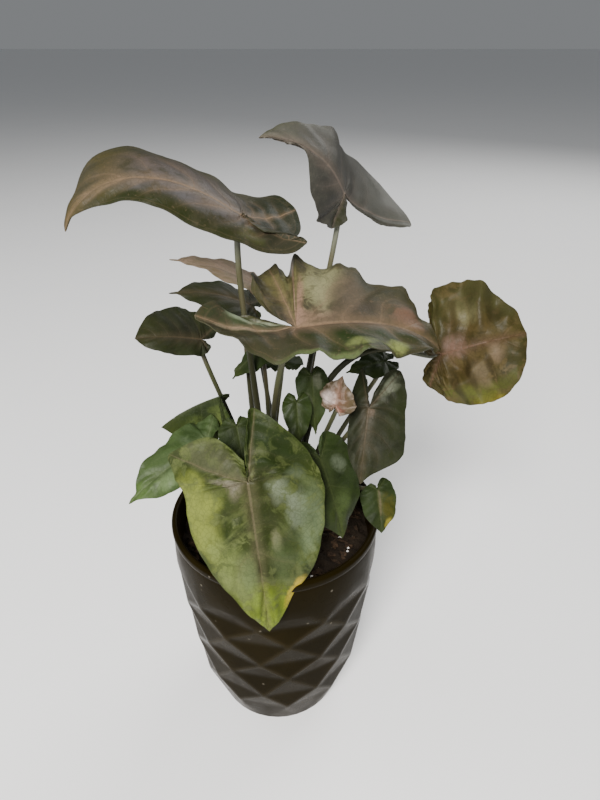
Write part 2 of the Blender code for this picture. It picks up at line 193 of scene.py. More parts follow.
# %% [markdown]
# ## Effects that several materials share
# Leaves share their veins, their blotches and the fine network of small veins. Pot, stalks and soil share
# a dust and scuff mask. Each is a node group with named sockets, built once.

# %% Group helpers
def start_group(name, ins, outs):
    """An empty group with its sockets. Returns the tree, its inputs and its output node."""
    tree = bpy.data.node_groups.new(name, "ShaderNodeTree")
    for label, kind in ins.items():
        tree.interface.new_socket(label, in_out="INPUT", socket_type="NodeSocket" + kind)
    for label in outs:
        tree.interface.new_socket(label, in_out="OUTPUT", socket_type="NodeSocketFloat")
    return tree, tree.nodes.new("NodeGroupInput").outputs, tree.nodes.new("NodeGroupOutput")


def use_group(tree, group, inputs):
    """Places a finished group in a material."""
    return add_node(tree, "Group", inputs, node_tree=group).outputs


print("group helpers ready")


# %% [markdown]
# ### Veins
# An arrowhead leaf has a midrib, one strong vein down each lobe, and side veins that lean towards the
# tip. Each blade carries these as attributes: how far a point is from a strong vein, counted in the
# vein's own half width, and a count that rises by one from side vein to side vein. A side vein is drawn
# where the count passes a half.

# %% Vein group
LOBE_START = 0.57
MARGIN_VEIN = 0.91

tree, given, out = start_group(
    "leaf_veins", {"Seed": "Float"},
    ("Ribs", "Rib Glow", "Side Veins", "Side Glow", "Margin Vein", "Streaks"),
)
ahead = attribute(tree, "ahead")
across = attribute(tree, "across")
rib_reach = attribute(tree, "rib_reach")
counts = {2: attribute(tree, "side_count"), 3: attribute(tree, "lobe_count")}
in_lobe = soft_step(tree, ahead, LOBE_START, LOBE_START + 0.03)
count = add_node(tree, "Mix", {0: in_lobe, **counts}).outputs[0]
number = sum_of(tree, "ADD", sum_of(tree, "FLOOR", count), given["Seed"])
draw = add_node(tree, "TexWhiteNoise", {"W": number}, noise_dimensions="1D").outputs["Value"]
to_margin = soft_step(tree, across, 0.20, 0.95, 1.0, 0.10)
vigour = times(tree, to_margin, soft_step(tree, draw, 0.0, 1.0, 0.35, 1.0))


def side_lines(width):
    """The side veins of blade and lobe, each with its own strength, as lines of this half width."""
    masks = {0: in_lobe}
    for key, line_count in counts.items():
        off_line = sum_of(tree, "ABSOLUTE", sum_of(tree, "SUBTRACT", sum_of(tree, "FRACT", line_count), 0.5))
        masks[key] = soft_step(tree, off_line, width, width * 0.15)
    return times(tree, add_node(tree, "Mix", masks).outputs[0], vigour)


to_tip = soft_step(tree, ahead, 0.08, 0.46, 0.35, 1.0)
off_margin = sum_of(tree, "ABSOLUTE", sum_of(tree, "SUBTRACT", across, MARGIN_VEIN))
place = add_node(tree, "CombineXYZ", {0: count, 1: attribute(tree, "side"), 2: given["Seed"]}).outputs[0]
streaks = add_node(tree, "TexNoise", {"Vector": place, "Scale": 1.9, "Detail": 4.0}).outputs["Fac"]
set_inputs(tree, out, {
    "Ribs": times(tree, soft_step(tree, rib_reach, 1.0, 0.3), to_tip),
    "Rib Glow": soft_step(tree, rib_reach, 7.0, 0.6),
    "Side Veins": side_lines(0.06),
    "Side Glow": side_lines(0.34),
    "Margin Vein": soft_step(tree, off_margin, 0.014, 0.004),
    "Streaks": soft_step(tree, streaks, 0.48, 0.66),
})
vein_group = tree
print("vein group", len(tree.nodes), "nodes")


# %% [markdown]
# ### Skin
# Between the veins a leaf is never one colour. Broad blotches come first, then clouds, mottling and fine
# freckles, and a network of hair-fine veins with cells of about two millimetres. The network also gives
# the bump that breaks up the shine.

# %% Skin group
tree, given, out = start_group(
    "leaf_skin", {"Vector": "Vector", "Seed": "Float"},
    ("Blotches", "Clouds", "Mottle", "Freckles", "Network", "Height"),
)
seeded = add_node(tree, "CombineXYZ", {axis: given["Seed"] for axis in range(3)}).outputs[0]
spot = add_node(tree, "VectorMath", {0: given["Vector"], 1: seeded}, operation="ADD").outputs[0]


def skin_noise(scale, detail, rough=0.5, bend=0.0):
    inputs = {"Vector": spot, "Scale": scale, "Detail": detail, "Roughness": rough, "Distortion": bend}
    return add_node(tree, "TexNoise", inputs).outputs["Fac"]


fine = skin_noise(900.0, 2.0)
cells = add_node(tree, "TexVoronoi", {"Vector": spot, "Scale": 430.0}, feature="DISTANCE_TO_EDGE").outputs
network = soft_step(tree, cells["Distance"], 0.11, 0.0)
set_inputs(tree, out, {
    "Blotches": soft_step(tree, skin_noise(70.0, 4.0), 0.42, 0.66),
    "Clouds": soft_step(tree, skin_noise(28.0, 2.0), 0.35, 0.65),
    "Mottle": soft_step(tree, skin_noise(165.0, 5.0, rough=0.6, bend=0.8), 0.48, 0.60),
    "Freckles": soft_step(tree, fine, 0.62, 0.72),
    "Network": network,
    "Height": sum_of(tree, "ADD", times(tree, network, -0.6), times(tree, fine, 0.5)),
})
skin_group = tree
print("skin group", len(tree.nodes), "nodes")


# %% [markdown]
# ### Dust
# Everything in a living room carries a little dust: small pale specks, and broad areas that are a shade
# duller.

# %% Dust group
tree, given, out = start_group("dust", {"Vector": "Vector", "Speck Scale": "Float"}, ("Specks", "Film"))
cells = add_node(tree, "TexVoronoi", {"Vector": given["Vector"], "Scale": given["Speck Scale"]}).outputs
few = soft_step(tree, add_node(tree, "SeparateColor", {0: cells["Color"]}).outputs[0], 0.80, 0.9)
film = add_node(tree, "TexNoise", {"Vector": given["Vector"], "Scale": 45.0, "Detail": 5.0}).outputs["Fac"]
set_inputs(tree, out, {
    "Specks": times(tree, few, soft_step(tree, cells["Distance"], 0.16, 0.06)),
    "Film": soft_step(tree, film, 0.4, 0.75),
})
dust_group = tree
print("dust group", len(tree.nodes), "nodes")


# %% [markdown]
# ## Working by hand in code
# An operator acts on everything that is selected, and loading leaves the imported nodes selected. So each
# piece starts from an empty selection. Its parts are then picked by their place.

# %% Modelling helpers
def start_clean():
    bpy.ops.object.select_all(action="DESELECT")


def select_only(piece):
    start_clean()
    piece.select_set(True)
    bpy.context.view_layer.objects.active = piece


def add_grid(columns, rows):
    """A flat grid with this many points across and along, to be laid over a shape."""
    start_clean()
    bpy.ops.mesh.primitive_grid_add(x_subdivisions=columns - 1, y_subdivisions=rows - 1, size=2.0)
    return bpy.context.object


def place_points(piece, points):
    """Moves every vertex of a mesh to its place, given in millimetres."""
    piece.data.vertices.foreach_set("co", (np.asarray(points, float) * MM).ravel())
    piece.data.update()


def add_map(piece, label, values):
    """Stores a number at each vertex, for the material to read."""
    layer = piece.data.attributes.new(label, "FLOAT", "POINT")
    layer.data.foreach_set("value", np.asarray(values, np.float32).ravel())


def merge_and_face_out(piece, distance=0.01, outward=True):
    """Joins the points that meet at a pole or a seam, and turns the faces outward."""
    select_only(piece)
    bpy.ops.object.mode_set(mode="EDIT")
    bpy.ops.mesh.select_all(action="SELECT")
    bpy.ops.mesh.remove_doubles(threshold=distance * MM)
    if outward:
        bpy.ops.mesh.normals_make_consistent(inside=False)
    bpy.ops.object.mode_set(mode="OBJECT")


def apply_modifier(piece, kind, **settings):
    """Adds a modifier, sets it and applies it at once."""
    select_only(piece)
    modifier = piece.modifiers.new(kind.lower(), kind)
    for name, value in settings.items():
        setattr(modifier, name, value)
    bpy.ops.object.modifier_apply(modifier=modifier.name)


def shade_smooth(piece, degrees):
    """Smooth shading, but for edges sharper than the angle."""
    select_only(piece)
    bpy.ops.object.shade_smooth_by_angle(angle=math.radians(degrees))


def dress(piece, *finishes):
    """Gives the piece its materials."""
    piece.data.materials.clear()
    for finish in finishes:
        piece.data.materials.append(finish)


def finish_piece(piece, name, slot, *nodes):
    """Names the piece, lets it ride on the plant's one body and puts it in place of its nodes."""
    piece.name = name
    piece.data.name = name
    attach(piece, "root")
    if nodes:
        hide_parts(*nodes)


def triangle_count(piece):
    piece.data.calc_loop_triangles()
    return len(piece.data.loop_triangles)


print("modelling helpers ready")


# %% [markdown]
# ## Floor
# A plain pale floor carries the pot. It is not attached to the plant.

# %% Floor
start_clean()
bpy.ops.mesh.primitive_plane_add(size=60.0, location=(0.0, 0.0, 0.0))
floor = bpy.context.object
floor.name = "floor"
floor_finish, tree, where = start_finish("pale_floor")
tone = mix_colours(tree, cloud(tree, where, 6.0), rgb(830, 835, 840), rgb(860, 860, 860))
set_inputs(tree, tree.nodes["Principled BSDF"], {"Base Color": tone, "Roughness": 0.7})
dress(floor, floor_finish)
print("floor laid")


# %% [markdown]
# ## Pot
# The real pot is one thin moulding of dark olive-brown plastic: a smooth band under a rounded lip, and
# below it slanted facets that meet in soft ridges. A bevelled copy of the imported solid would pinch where
# six facets meet. A fine grid is wrapped round it instead, like shrink film. Its points are dropped onto
# the solid from outside, and averaging each with its neighbours rounds the ridges by about a millimetre,
# as a mould does.

# %% Pot sizes
RIM_RADIUS = 56.0
RIM_HEIGHT = 134.0
LIP_FOOT = 129.0
LIP_WIDTH = 3.4
LIP_STEPS = 10
FLOOR_THICKNESS = 2.5
POT_COLUMNS = 360
print("pot", 2 * RIM_RADIUS, "mm across,", RIM_HEIGHT, "mm high")


# %% Drop a grid onto the faceted body
OUTSIDE_POT = 90.0
RIDGE_HEIGHT = 0.14


def wrap_tree(node):
    """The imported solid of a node, ready to be hit by rays, in millimetres."""
    mesh = frame["nodes"][node].data
    corners = [vertex.co / MM for vertex in mesh.vertices]
    return BVHTree.FromPolygons(corners, [tuple(face.vertices) for face in mesh.polygons])


def outer_radius(tree, degrees, height):
    """Radius of the solid pot's outer face at one place, found by a ray from outside."""
    outward = Vector((math.sin(math.radians(degrees)), -math.cos(math.radians(degrees)), 0.0))
    hit = tree.ray_cast(outward * OUTSIDE_POT + Vector((0.0, 0.0, height)), -outward)[0]
    return Vector((hit.x, hit.y, 0.0)).length


solid_pot = wrap_tree("pot")
wall_heights = np.concatenate(([0.6], np.arange(1.5, 111.5, 1.0)))
wall = np.array([
    [outer_radius(solid_pot, 360.0 * column / POT_COLUMNS, level) for column in range(POT_COLUMNS)]
    for level in wall_heights
])


def soften(field, passes):
    """Averages each radius with its neighbours round the wall and up it."""
    for _ in range(passes):
        field = 0.5 * field + 0.25 * (np.roll(field, 1, axis=1) + np.roll(field, -1, axis=1))
        field[1:-1] = 0.5 * field[1:-1] + 0.25 * (field[:-2] + field[2:])
    return field


wall = soften(wall, 2)
ridge = np.clip((wall - soften(wall, 5)) / RIDGE_HEIGHT, -1.0, 1.0)
print("wall", wall.shape, "from", round(wall.min(), 1), "to", round(wall.max(), 1), "mm")


# %% Foot, lip and inner wall as one profile
profile_below = [(0.0, 1.6), (20.0, 1.5), (33.0, 1.5), (34.4, 0.4), (35.2, 0.0), (36.6, 0.0), (37.3, 0.25)]
profile_above = [(RIM_RADIUS - inset, LIP_FOOT + rise) for inset, rise in (
    (0.30, -12.0), (0.45, -7.0), (0.60, -2.5), (0.75, -0.9), (0.85, -0.3),
    (0.50, 0.25), (0.10, 0.8), (0.00, 1.8),
)]
half_lip = LIP_WIDTH / 2.0
for step in range(LIP_STEPS + 1):
    angle = math.pi * step / LIP_STEPS
    around = RIM_RADIUS - half_lip + half_lip * math.cos(angle)
    profile_above.append((around, RIM_HEIGHT - half_lip + half_lip * math.sin(angle)))
profile_above += [(52.2, 128.0), (51.0, 115.0), (48.0, 84.0), (45.0, 52.0), (42.4, 24.0), (38.0, 10.0)]
profile_above += [(35.6, 3.4), (34.6, 2.6), (18.0, FLOOR_THICKNESS), (0.0, FLOOR_THICKNESS)]
columns = np.arange(POT_COLUMNS + 1)


def level_rows(profile):
    """One row of radius and height for each circle of the profile."""
    return [np.tile(pair, (POT_COLUMNS + 1, 1)) for pair in profile]


wall_rows = [
    np.column_stack((line[columns % POT_COLUMNS], np.full(POT_COLUMNS + 1, level)))
    for line, level in zip(wall, wall_heights)
]
rows = np.array(level_rows(profile_below) + wall_rows + level_rows(profile_above))
print("profile", len(rows), "rows")


# %% Wrap the grid round and close its seam and poles
pot = add_grid(POT_COLUMNS + 1, len(rows))
turn = np.radians(360.0 * columns / POT_COLUMNS)
points = np.stack((rows[:, :, 0] * np.sin(turn), -rows[:, :, 0] * np.cos(turn), rows[:, :, 1]), axis=-1)
place_points(pot, points.reshape(-1, 3))
ridge_rows = np.zeros(rows.shape[:2])
ridge_rows[len(profile_below) : len(profile_below) + len(ridge)] = ridge[:, columns % POT_COLUMNS]
add_map(pot, "ridge", ridge_rows)
merge_and_face_out(pot)
shade_smooth(pot, 50.0)
finish_piece(pot, "pot_shell", "pot", "pot")
print("pot", triangle_count(pot), "triangles")


# %% [markdown]
# ### Pot plastic
# Moulded plastic is smooth but not perfect: the shine has a faint orange-peel ripple, handling leaves dull
# scuffs, and dust settles as small pale specks. A warm tone is painted in where the surface turns away
# towards the outline, a painted sheen. The ridges are painted lighter, partly wear, partly a painted
# highlight.

# %% Pot material
pot_finish, tree, where = start_finish("olive_brown_plastic")
dust = use_group(tree, dust_group, {"Vector": where, "Speck Scale": 170.0})
# painted sheen: a warm tone is painted in where the surface turns away towards the outline
painted_rim_sheen = add_node(tree, "LayerWeight", {"Blend": 0.25}).outputs["Facing"]
# the ridges are painted lighter and made glossier: partly wear, partly a painted highlight
worn_and_highlit_ridge = soft_step(tree, attribute(tree, "ridge"), 0.10, 1.0)
tone = lay_over(
    tree,
    mix_colours(tree, cloud(tree, where, 22.0), rgb(5.0, 3.5, 0.6), rgb(7.4, 5.2, 1.0)),
    (soft_step(tree, painted_rim_sheen, 0.35, 1.0), 0.5, rgb(26, 13, 3)),
    (worn_and_highlit_ridge, 0.35, rgb(20, 15, 6)),
    (dust["Film"], 0.05, rgb(50, 34, 10)),
    (dust["Specks"], 0.22, rgb(300, 270, 210)),
)
scuffs = cloud(tree, where, 60.0, detail=6.0, rough=0.7, seed=3.0)
dull = soft_step(tree, scuffs, 0.35, 0.75, 0.26, 0.42)
polished = add_node(tree, "Mix", {0: worn_and_highlit_ridge, 2: dull, 3: 0.2}).outputs[0]
ripple_height = cloud(tree, where, 260.0, detail=2.0, seed=8.0)
end_finish(tree, tone, polished, 0.02, ripple_height, 0.12, 0.4)
dress(pot, pot_finish)
print("pot material", len(tree.nodes), "nodes")


# %% [markdown]
# ## Soil
# The pot is filled with dark potting mix: an uneven crust with bark chips, white perlite grains and
# crumbs. The root ball is a disc of rings that carries on down the inside of the pot, so it stays a solid
# plug.

# %% Root ball
SOIL_TOP = 121.0
SOIL_RADIUS = 51.2
SOIL_COLUMNS = 180
SOIL_RINGS = 52
PLUG_RINGS = ((50.4, 112.0), (46.0, 66.0), (42.0, 24.0), (36.0, 3.6), (35.0, 2.8), (0.0, 2.8))


def soil_height(x, y):
    """Height of the soil's top in millimetres, lowest beside the wall."""
    bump = math.sin(0.31 * x + 1.0) * math.cos(0.27 * y) + 0.5 * math.sin(0.7 * y + 0.5 * x)
    lump = noise.fractal(Vector((x, y, 3.0)) / 7.0, 0.8, 2.0, 4)
    edge = min(1.0, math.hypot(x, y) / SOIL_RADIUS)
    return SOIL_TOP + 0.8 * bump + 1.5 * lump - 2.2 * edge**6


def soil_ring(radius, level=None):
    """One closed ring of points, at one level or on the uneven top."""
    turns = [2.0 * math.pi * (column % SOIL_COLUMNS) / SOIL_COLUMNS for column in range(SOIL_COLUMNS + 1)]
    places = [(radius * math.cos(turn), radius * math.sin(turn)) for turn in turns]
    return [(x, y, soil_height(x, y) if level is None else level) for x, y in places]


soil_rows = [soil_ring(SOIL_RADIUS * step / SOIL_RINGS) for step in range(SOIL_RINGS + 1)]
soil_rows += [soil_ring(radius, level) for radius, level in PLUG_RINGS]
soil = add_grid(SOIL_COLUMNS + 1, len(soil_rows))
place_points(soil, np.array(soil_rows).reshape(-1, 3))
merge_and_face_out(soil)
shade_smooth(soil, 60.0)
finish_piece(soil, "soil_crust", "soil", "soil")
print("soil", triangle_count(soil), "triangles")


# %% Soil material
soil_finish, tree, where = start_finish("potting_mix")
grain = cloud(tree, where, 700.0, detail=8.0, rough=0.75)
clod = cloud(tree, where, 120.0, detail=5.0, seed=2.0)
dust = use_group(tree, dust_group, {"Vector": where, "Speck Scale": 520.0})
tone = lay_over(
    tree,
    mix_colours(tree, grain, rgb(3.0, 2.2, 1.4), rgb(26, 18, 11)),
    (soft_step(tree, clod, 0.45, 0.7), 1.0, rgb(10, 7, 4)),
    (dust["Specks"], 0.8, rgb(200, 170, 130)),
)
end_finish(tree, tone, soft_step(tree, grain, 0.3, 0.7, 0.78, 0.98), 0.1, grain, 0.9, 1.2)
dress(soil, soil_finish)
print("soil material", len(tree.nodes), "nodes")


# %% [markdown]
# ## Leaf sizes
# Every blade is drawn flat first and then bent. What belongs to a half is one number for both, or two in
# brackets for the left and the right half, seen from above with the tip ahead. foot, base and tip are the
# ends of stalk and blade. The other words say how the outline runs, how the sheet is bent, how it waves
# and swells, and how its stalk stands. Angles are in degrees. A leaf starts from the common values, and
# its own lines change what differs. The detail of a size is the rows per span and the columns per half.

# %% Leaf table
OF_EACH_HALF = (
    "width", "near_tip", "middle", "bulge", "lobe", "spread", "inner", "notch", "fold", "curl", "lobe_bend",
    "wave", "hump",
)
LEAF_DEFAULTS = dict(
    width=18, near_tip=0.15, middle=0.6, bulge=0.09, lobe=14, spread=42, inner=0.78, notch=10,
    notch_depth=0.35, ragged=0.025, fold=0, curl=12, bow=25, bow_bias=1.3, lobe_bend=5, roll=0, twist=0,
    wave=0.8, waves=5, hump=0, hump_at=(0.65, 0.10), quilt=0.5, crinkle=0.25, veins=5, rib=1.0,
    radius=(1.7, 1.15), rise=(40, 9), approach=None, size="medium",
)
DETAIL = {"large": (11, 24), "medium": (8, 14), "small": (6, 10)}
LEAVES = {
    "upper_left": dict(
        foot=(-4, 3), base=(-11, 0, 292), tip=(-80, -12, 288),
        width=(17, 28), lobe=(30, 34), spread=(10, 34), notch=(10, -28), bulge=(0.09, 0.5),
        middle=(0.6, 1.02), near_tip=(0.2, 0.36), fold=(-18, 4), curl=(20, 15), bow=108, bow_bias=1.7,
        lobe_bend=(-30, -38), roll=5, twist=-20, hump=(0, 8), waves=4, wave=1.2, radius=(2.1, 1.35),
        rise=(70, 20), approach=(0.3, -0.1, 1.0), size="large", quilt=0.7, veins=6,
    ),
    "upper_right": dict(
        foot=(9, 8), base=(33, 20, 296), tip=(-3, 8, 320),
        width=(17, 24), lobe=(15, 51), spread=(62, 18), bulge=(0.09, 0.4), middle=(0.1, 0.5),
        near_tip=(0.03, 0.25), fold=(-32, 2), curl=(5, 15), bow=90, bow_bias=1.6, lobe_bend=(-30, -55),
        roll=44, wave=0.8, radius=(2.1, 1.25), rise=(70, 42), approach=(0.05, -0.35, 1.0), size="large",
        quilt=0.6, veins=5,
    ),
    "centre": dict(
        foot=(-1, -4), base=(12, -28, 254), tip=(72, -24, 242),
        width=(38, 20), lobe=(44, 41), spread=(74, 8), notch=(36, -30), middle=(0.7, 0.88),
        near_tip=(0.42, 0.5), fold=8, curl=(15, 14), bow=60, bow_bias=1.8, lobe_bend=(-90, -55),
        roll=-14, wave=(2.6, 2.8), waves=6, radius=(2.1, 1.35), rise=(60, 26),
        approach=(0.45, -0.1, 0.88), size="large", quilt=0.9, rib=1.4, ragged=0.08, hump=(8, 0),
        hump_at=(0.51, 0.075),
    ),
    "right": dict(
        foot=(12, -2), base=(78, -5, 230), tip=(114, -8, 242),
        width=(29, 25), lobe=(17, 16), spread=(85, 60), middle=(0.95, 1.0), near_tip=(0.5, 0.6),
        curl=(10, 20), bow=50, roll=-55, wave=1.8, radius=(2.0, 1.3), rise=(150, 28),
        approach=(0.2, -0.75, 0.65), size="large", quilt=1.0, veins=5, crinkle=2.5,
    ),
    "front": dict(
        foot=(-5, -10), base=(-9, -48, 190), tip=(-1, -63, 112),
        width=(34, 31), lobe=(32, 38), spread=(14, 66), notch=2, notch_depth=0.26, inner=(0.78, 0.66),
        middle=(0.72, 0.66), near_tip=(0.28, 0.22), fold=-8, curl=(10, 26), bow=20, lobe_bend=(0, 10),
        roll=-18, radius=(2.0, 1.3), rise=(45, 10), size="large", quilt=1.7, veins=6, crinkle=0.9,
        rib=0.75,
    ),
    "low_left": dict(
        foot=(-11, -6), base=(-31, -18, 190), tip=(-65, -40, 171),
        width=(15, 13), middle=0.7, near_tip=0.2, fold=(-10, 20), curl=15, bow=30, roll=10, wave=1.8,
        waves=4, ragged=0.07, quilt=0.8,
    ),
    "left_folded": dict(
        foot=(-11, 2), base=(-26, 0, 205), tip=(-54, -8, 192),
        width=(20, 9), lobe=(17, 8), spread=(100, 50), notch=(80, 10), middle=0.8, near_tip=(0.6, 0.5),
        fold=(-58, -50), curl=(10, 20), bow=30, roll=10, radius=(1.6, 0.8), quilt=0.35,
    ),
    "mid_left": dict(
        foot=(-9, 8), base=(-33, 5, 233), tip=(-61, -5, 238),
        width=(9, 17), lobe=(7, 12), spread=(60, 45), middle=0.9, near_tip=0.5, bow=30, roll=35,
    ),
    "dark_left": dict(
        foot=(-9, 15), base=(-11, 19, 245), tip=(-46, 7, 255),
        width=(12, 11), lobe=(9, 13), middle=0.75, bow=40, roll=22,
    ),
    "pale_left": dict(
        foot=(4, 14), base=(-10, 42, 247), tip=(-50, 34, 262),
        width=(9, 13), lobe=(7, 12), bow=30, roll=12,
    ),
    "inner_left": dict(
        foot=(-2, 10), base=(-6, 13, 223), tip=(-20, 8, 210),
        width=(8.5, 5), lobe=(6, 4), bow=30, roll=20, size="small", veins=3, quilt=0.25,
    ),
    "small_front": dict(
        foot=(-8, -14), base=(-16, -18, 199), tip=(-12, -30, 180),
        width=9, lobe=6, bow=20, size="small", veins=4, quilt=0.3,
    ),
    "small_centre": dict(
        foot=(3, -12), base=(12, -13, 209), tip=(13, -21, 190),
        width=7, lobe=6, bow=20, size="small", veins=4, quilt=0.3,
    ),
    "front_right": dict(
        foot=(9, -13), base=(23, -25, 186), tip=(34, -38, 148),
        width=(19, 16), middle=0.8, near_tip=0.25, fold=-5, curl=(10, 30), bow=20, roll=-8,
    ),
    "hanging_right": dict(
        foot=(14, -8), base=(46, -10, 204), tip=(42, -27, 172),
        width=(18, 9), lobe=(24, 20), spread=(32, 18), middle=(1.0, 0.85), near_tip=0.25, fold=-10,
        bow=20, quilt=0.6,
    ),
    "rim_right": dict(
        foot=(18, -3), base=(53, -12, 156), tip=(55, -24, 138),
        width=(9.5, 9), lobe=(8, 5), middle=0.8, near_tip=0.3, bow=20, size="small", veins=4,
    ),
    "pink_young": dict(
        foot=(15, 4), base=(30, -13, 208), tip=(33, -9, 221),
        width=10, lobe=6, bow=20, size="small", veins=4, quilt=0.5,
    ),
    "streaked": dict(
        foot=(7, 2), base=(19, -4, 218), tip=(21, -13, 191),
        width=8, lobe=6, bow=20, size="small", veins=4, quilt=0.3,
    ),
    "inner_right": dict(
        foot=(19, 9), base=(55, 12, 218), tip=(36, 9, 213),
        width=11, lobe=8, bow=20, roll=8, size="small", veins=4,
    ),
    "back_left": dict(
        foot=(-3, 16), base=(4, 36, 204), tip=(0, 60, 197),
        width=(9, 12), lobe=(7, 8), bow=40,
    ),
    "back_right": dict(
        foot=(10, 14), base=(24, 40, 233), tip=(56, 62, 222),
        width=16, lobe=16, middle=0.7, bow=45,
    ),
}
print("leaves", len(LEAVES))


# %% [markdown]
# ## The bent sheet
# A blade is a grid: its rows run from the tip over the midrib to the notch, its columns from one margin
# to the other. The outline is a smooth curve through nine points a side. The midrib bends down towards
# the tip, each half folds and curls about it, and the lobes bend down behind the stalk. The sheet is
# thin, and thicker under its ribs, which stand out below as they do on the plant.

# %% Leaf axes and midrib
SPINE_STEPS = 48
SPANS_TO_JUNCTION = 4
BLADE_THICKNESS = 0.45
RIB_THICKNESS = 1.2


def leaf_axes(leaf):
    """Directions along the midrib, to the leaf's left and out of its upper face."""
    base = np.array(leaf["base"], float)
    along = np.array(leaf["tip"], float) - base
    along /= np.linalg.norm(along)
    up = np.array((0.0, 0.0, 1.0)) - along * along[2]
    up /= np.linalg.norm(up)
    left = np.cross(up, along)
    roll = math.radians(leaf["roll"])
    up = up * math.cos(roll) + left * math.sin(roll)
    return along, np.cross(up, along), up


def midrib_arc(bow, bias):
    """A curve of length 1 that bends down by bow, turned so that its end lies on the x axis."""
    share = (np.arange(SPINE_STEPS) + 0.5) / SPINE_STEPS
    angle = -bow * share**bias
    x = np.concatenate(([0.0], np.cumsum(np.cos(angle)))) / SPINE_STEPS
    z = np.concatenate(([0.0], np.cumsum(np.sin(angle)))) / SPINE_STEPS
    start = math.atan2(-z[-1], x[-1])
    turned_x = x * math.cos(start) - z * math.sin(start)
    turned_z = x * math.sin(start) + z * math.cos(start)
    return start, turned_x, turned_z


print("midrib bends in", SPINE_STEPS, "steps")


# %% Outline of one half
def half_outline(length, leaf, side):
    """Guide points of one margin, from the tip over the widest place and the lobe to the notch."""
    width = leaf["width"][side]
    lobe = leaf["lobe"][side]
    spread = math.radians(leaf["spread"][side])
    notch = math.radians(leaf["notch"][side])
    middle = leaf["middle"][side]
    lobe_tip = np.array((-lobe * math.cos(spread), lobe * math.sin(spread)))
    widest = np.array((0.06 * length, width))
    chord = lobe_tip - widest
    outward = np.array((chord[1], -chord[0]))
    outward *= math.copysign(leaf["bulge"][side], outward[1])
    inner_turn = (spread + notch) / 2.2
    inner = leaf["inner"][side]
    return np.array((
        (length, 0.0),
        (0.87 * length, leaf["near_tip"][side] * width),
        (0.62 * length, middle * width),
        (0.34 * length, (0.35 * middle + 0.72) * width),
        widest,
        (widest + lobe_tip) / 2.0 + outward,
        lobe_tip,
        (-inner * lobe * math.cos(inner_turn), inner * lobe * math.sin(inner_turn)),
        (-leaf["notch_depth"] * lobe * math.cos(notch), leaf["notch_depth"] * lobe * math.sin(notch)),
    ))


def smooth_line(points, spans):
    """A Catmull-Rom curve through the points, with the given number of steps per span."""
    ends = np.vstack((2 * points[0] - points[1], points, 2 * points[-1] - points[-2]))
    line = []
    for index in range(len(points) - 1):
        a, b, c, d = ends[index : index + 4]
        for step in range(spans):
            t = step / spans
            square_part = (2 * a - 5 * b + 4 * c - d) * t**2
            cube_part = (3 * b - a - 3 * c + d) * t**3
            line.append(0.5 * (2 * b + (c - a) * t + square_part + cube_part))
    line.append(points[-1])
    return np.array(line)


print("outline of", SPANS_TO_JUNCTION, "spans to the stalk and", 8 - SPANS_TO_JUNCTION, "round the lobe")


# %% [markdown]
# ### Cushions between the veins
# The upper face of the real leaf is quilted: it swells between the side veins and dips at the midrib. The
# same counts that draw the veins lift the sheet between them, so form and colour always agree.

# %% Relief of one half
LOBE_VEIN = 0.75
CUSHION_LUMP = 7.0
CRINKLE_LUMP = 8.0
CREASE_LUMP = 19.0


def ripple(count):
    """1 halfway between two side veins and 0 on a vein."""
    return np.cos(math.pi * count) ** 2


def soft_noise(x_mm, y_mm, lump, seed):
    """Soft noise from -1 to 1 over a sheet, with lumps of the given size in millimetres."""
    field = np.empty_like(x_mm)
    for place in np.ndindex(field.shape):
        field[place] = noise.noise(Vector((x_mm[place] / lump, y_mm[place] / lump, seed)))
    return field


def vein_counts(leaf, share, out, warp):
    """Count of side veins on the blade, and of the branches on both sides of the lobe's vein."""
    side_count = (share + 0.10 * out**1.4) * 2.0 * leaf["veins"] + 0.55 * warp
    lobe_count = 3.6 * (out - 1.5 * np.abs(share - LOBE_VEIN)) + 0.45 * warp
    return side_count, lobe_count


def relief(leaf, share, out, x_mm, y_mm, counts, seed):
    """Height in millimetres that veins, cushions and creases add to the bent sheet."""
    side_count, lobe_count = counts
    blend = np.clip((share - LOBE_START) / 0.04, 0.0, 1.0)
    swell = ripple(side_count) * (1.0 - blend) + ripple(lobe_count) * blend
    swell = swell * (0.8 + 0.9 * soft_noise(x_mm, y_mm, CUSHION_LUMP, seed + 3.0))
    lobe_dip = np.where(share > 0.5, np.exp(-(((share - LOBE_VEIN) * 4.0 * (0.2 + out)) ** 2) / 0.02), 0.0)
    spread_out = (4.0 * out * (1.0 - out)) ** 0.8
    dip = 0.55 * np.exp(-((y_mm / 1.3) ** 2)) * np.clip((0.62 - share) / 0.1, 0.0, 1.0)
    height = leaf["quilt"] * (swell * spread_out - 0.45 * spread_out * lobe_dip - dip)
    crinkles = soft_noise(x_mm, y_mm, CRINKLE_LUMP, seed)
    creases = 0.28 - np.sqrt(soft_noise(x_mm, y_mm, CREASE_LUMP, seed + 5.0) ** 2 + 0.006)
    height = height + leaf["crinkle"] * (crinkles + 5.0 * creases) * np.minimum(1.0, out * 3.0)
    return height * np.clip(share / 0.14, 0.0, 1.0) * np.clip((1.0 - share) / 0.05, 0.0, 1.0)


print("a large leaf swells by up to", max(leaf.get("quilt", 0.5) for leaf in LEAVES.values()), "mm")


# %% Margin and waves of one half
RAGGED_TEETH = 28.0


def ragged_margin(leaf, side, length, seed):
    """The smooth outline of one half with small teeth."""
    margin = smooth_line(half_outline(length, leaf, side), DETAIL[leaf["size"]][0])
    rows = len(margin)
    teeth = [noise.noise(Vector((RAGGED_TEETH * step / rows, seed, 5.0 * side))) for step in range(rows)]
    margin[:, 1] *= 1.0 + leaf["ragged"] * np.array(teeth)
    return margin


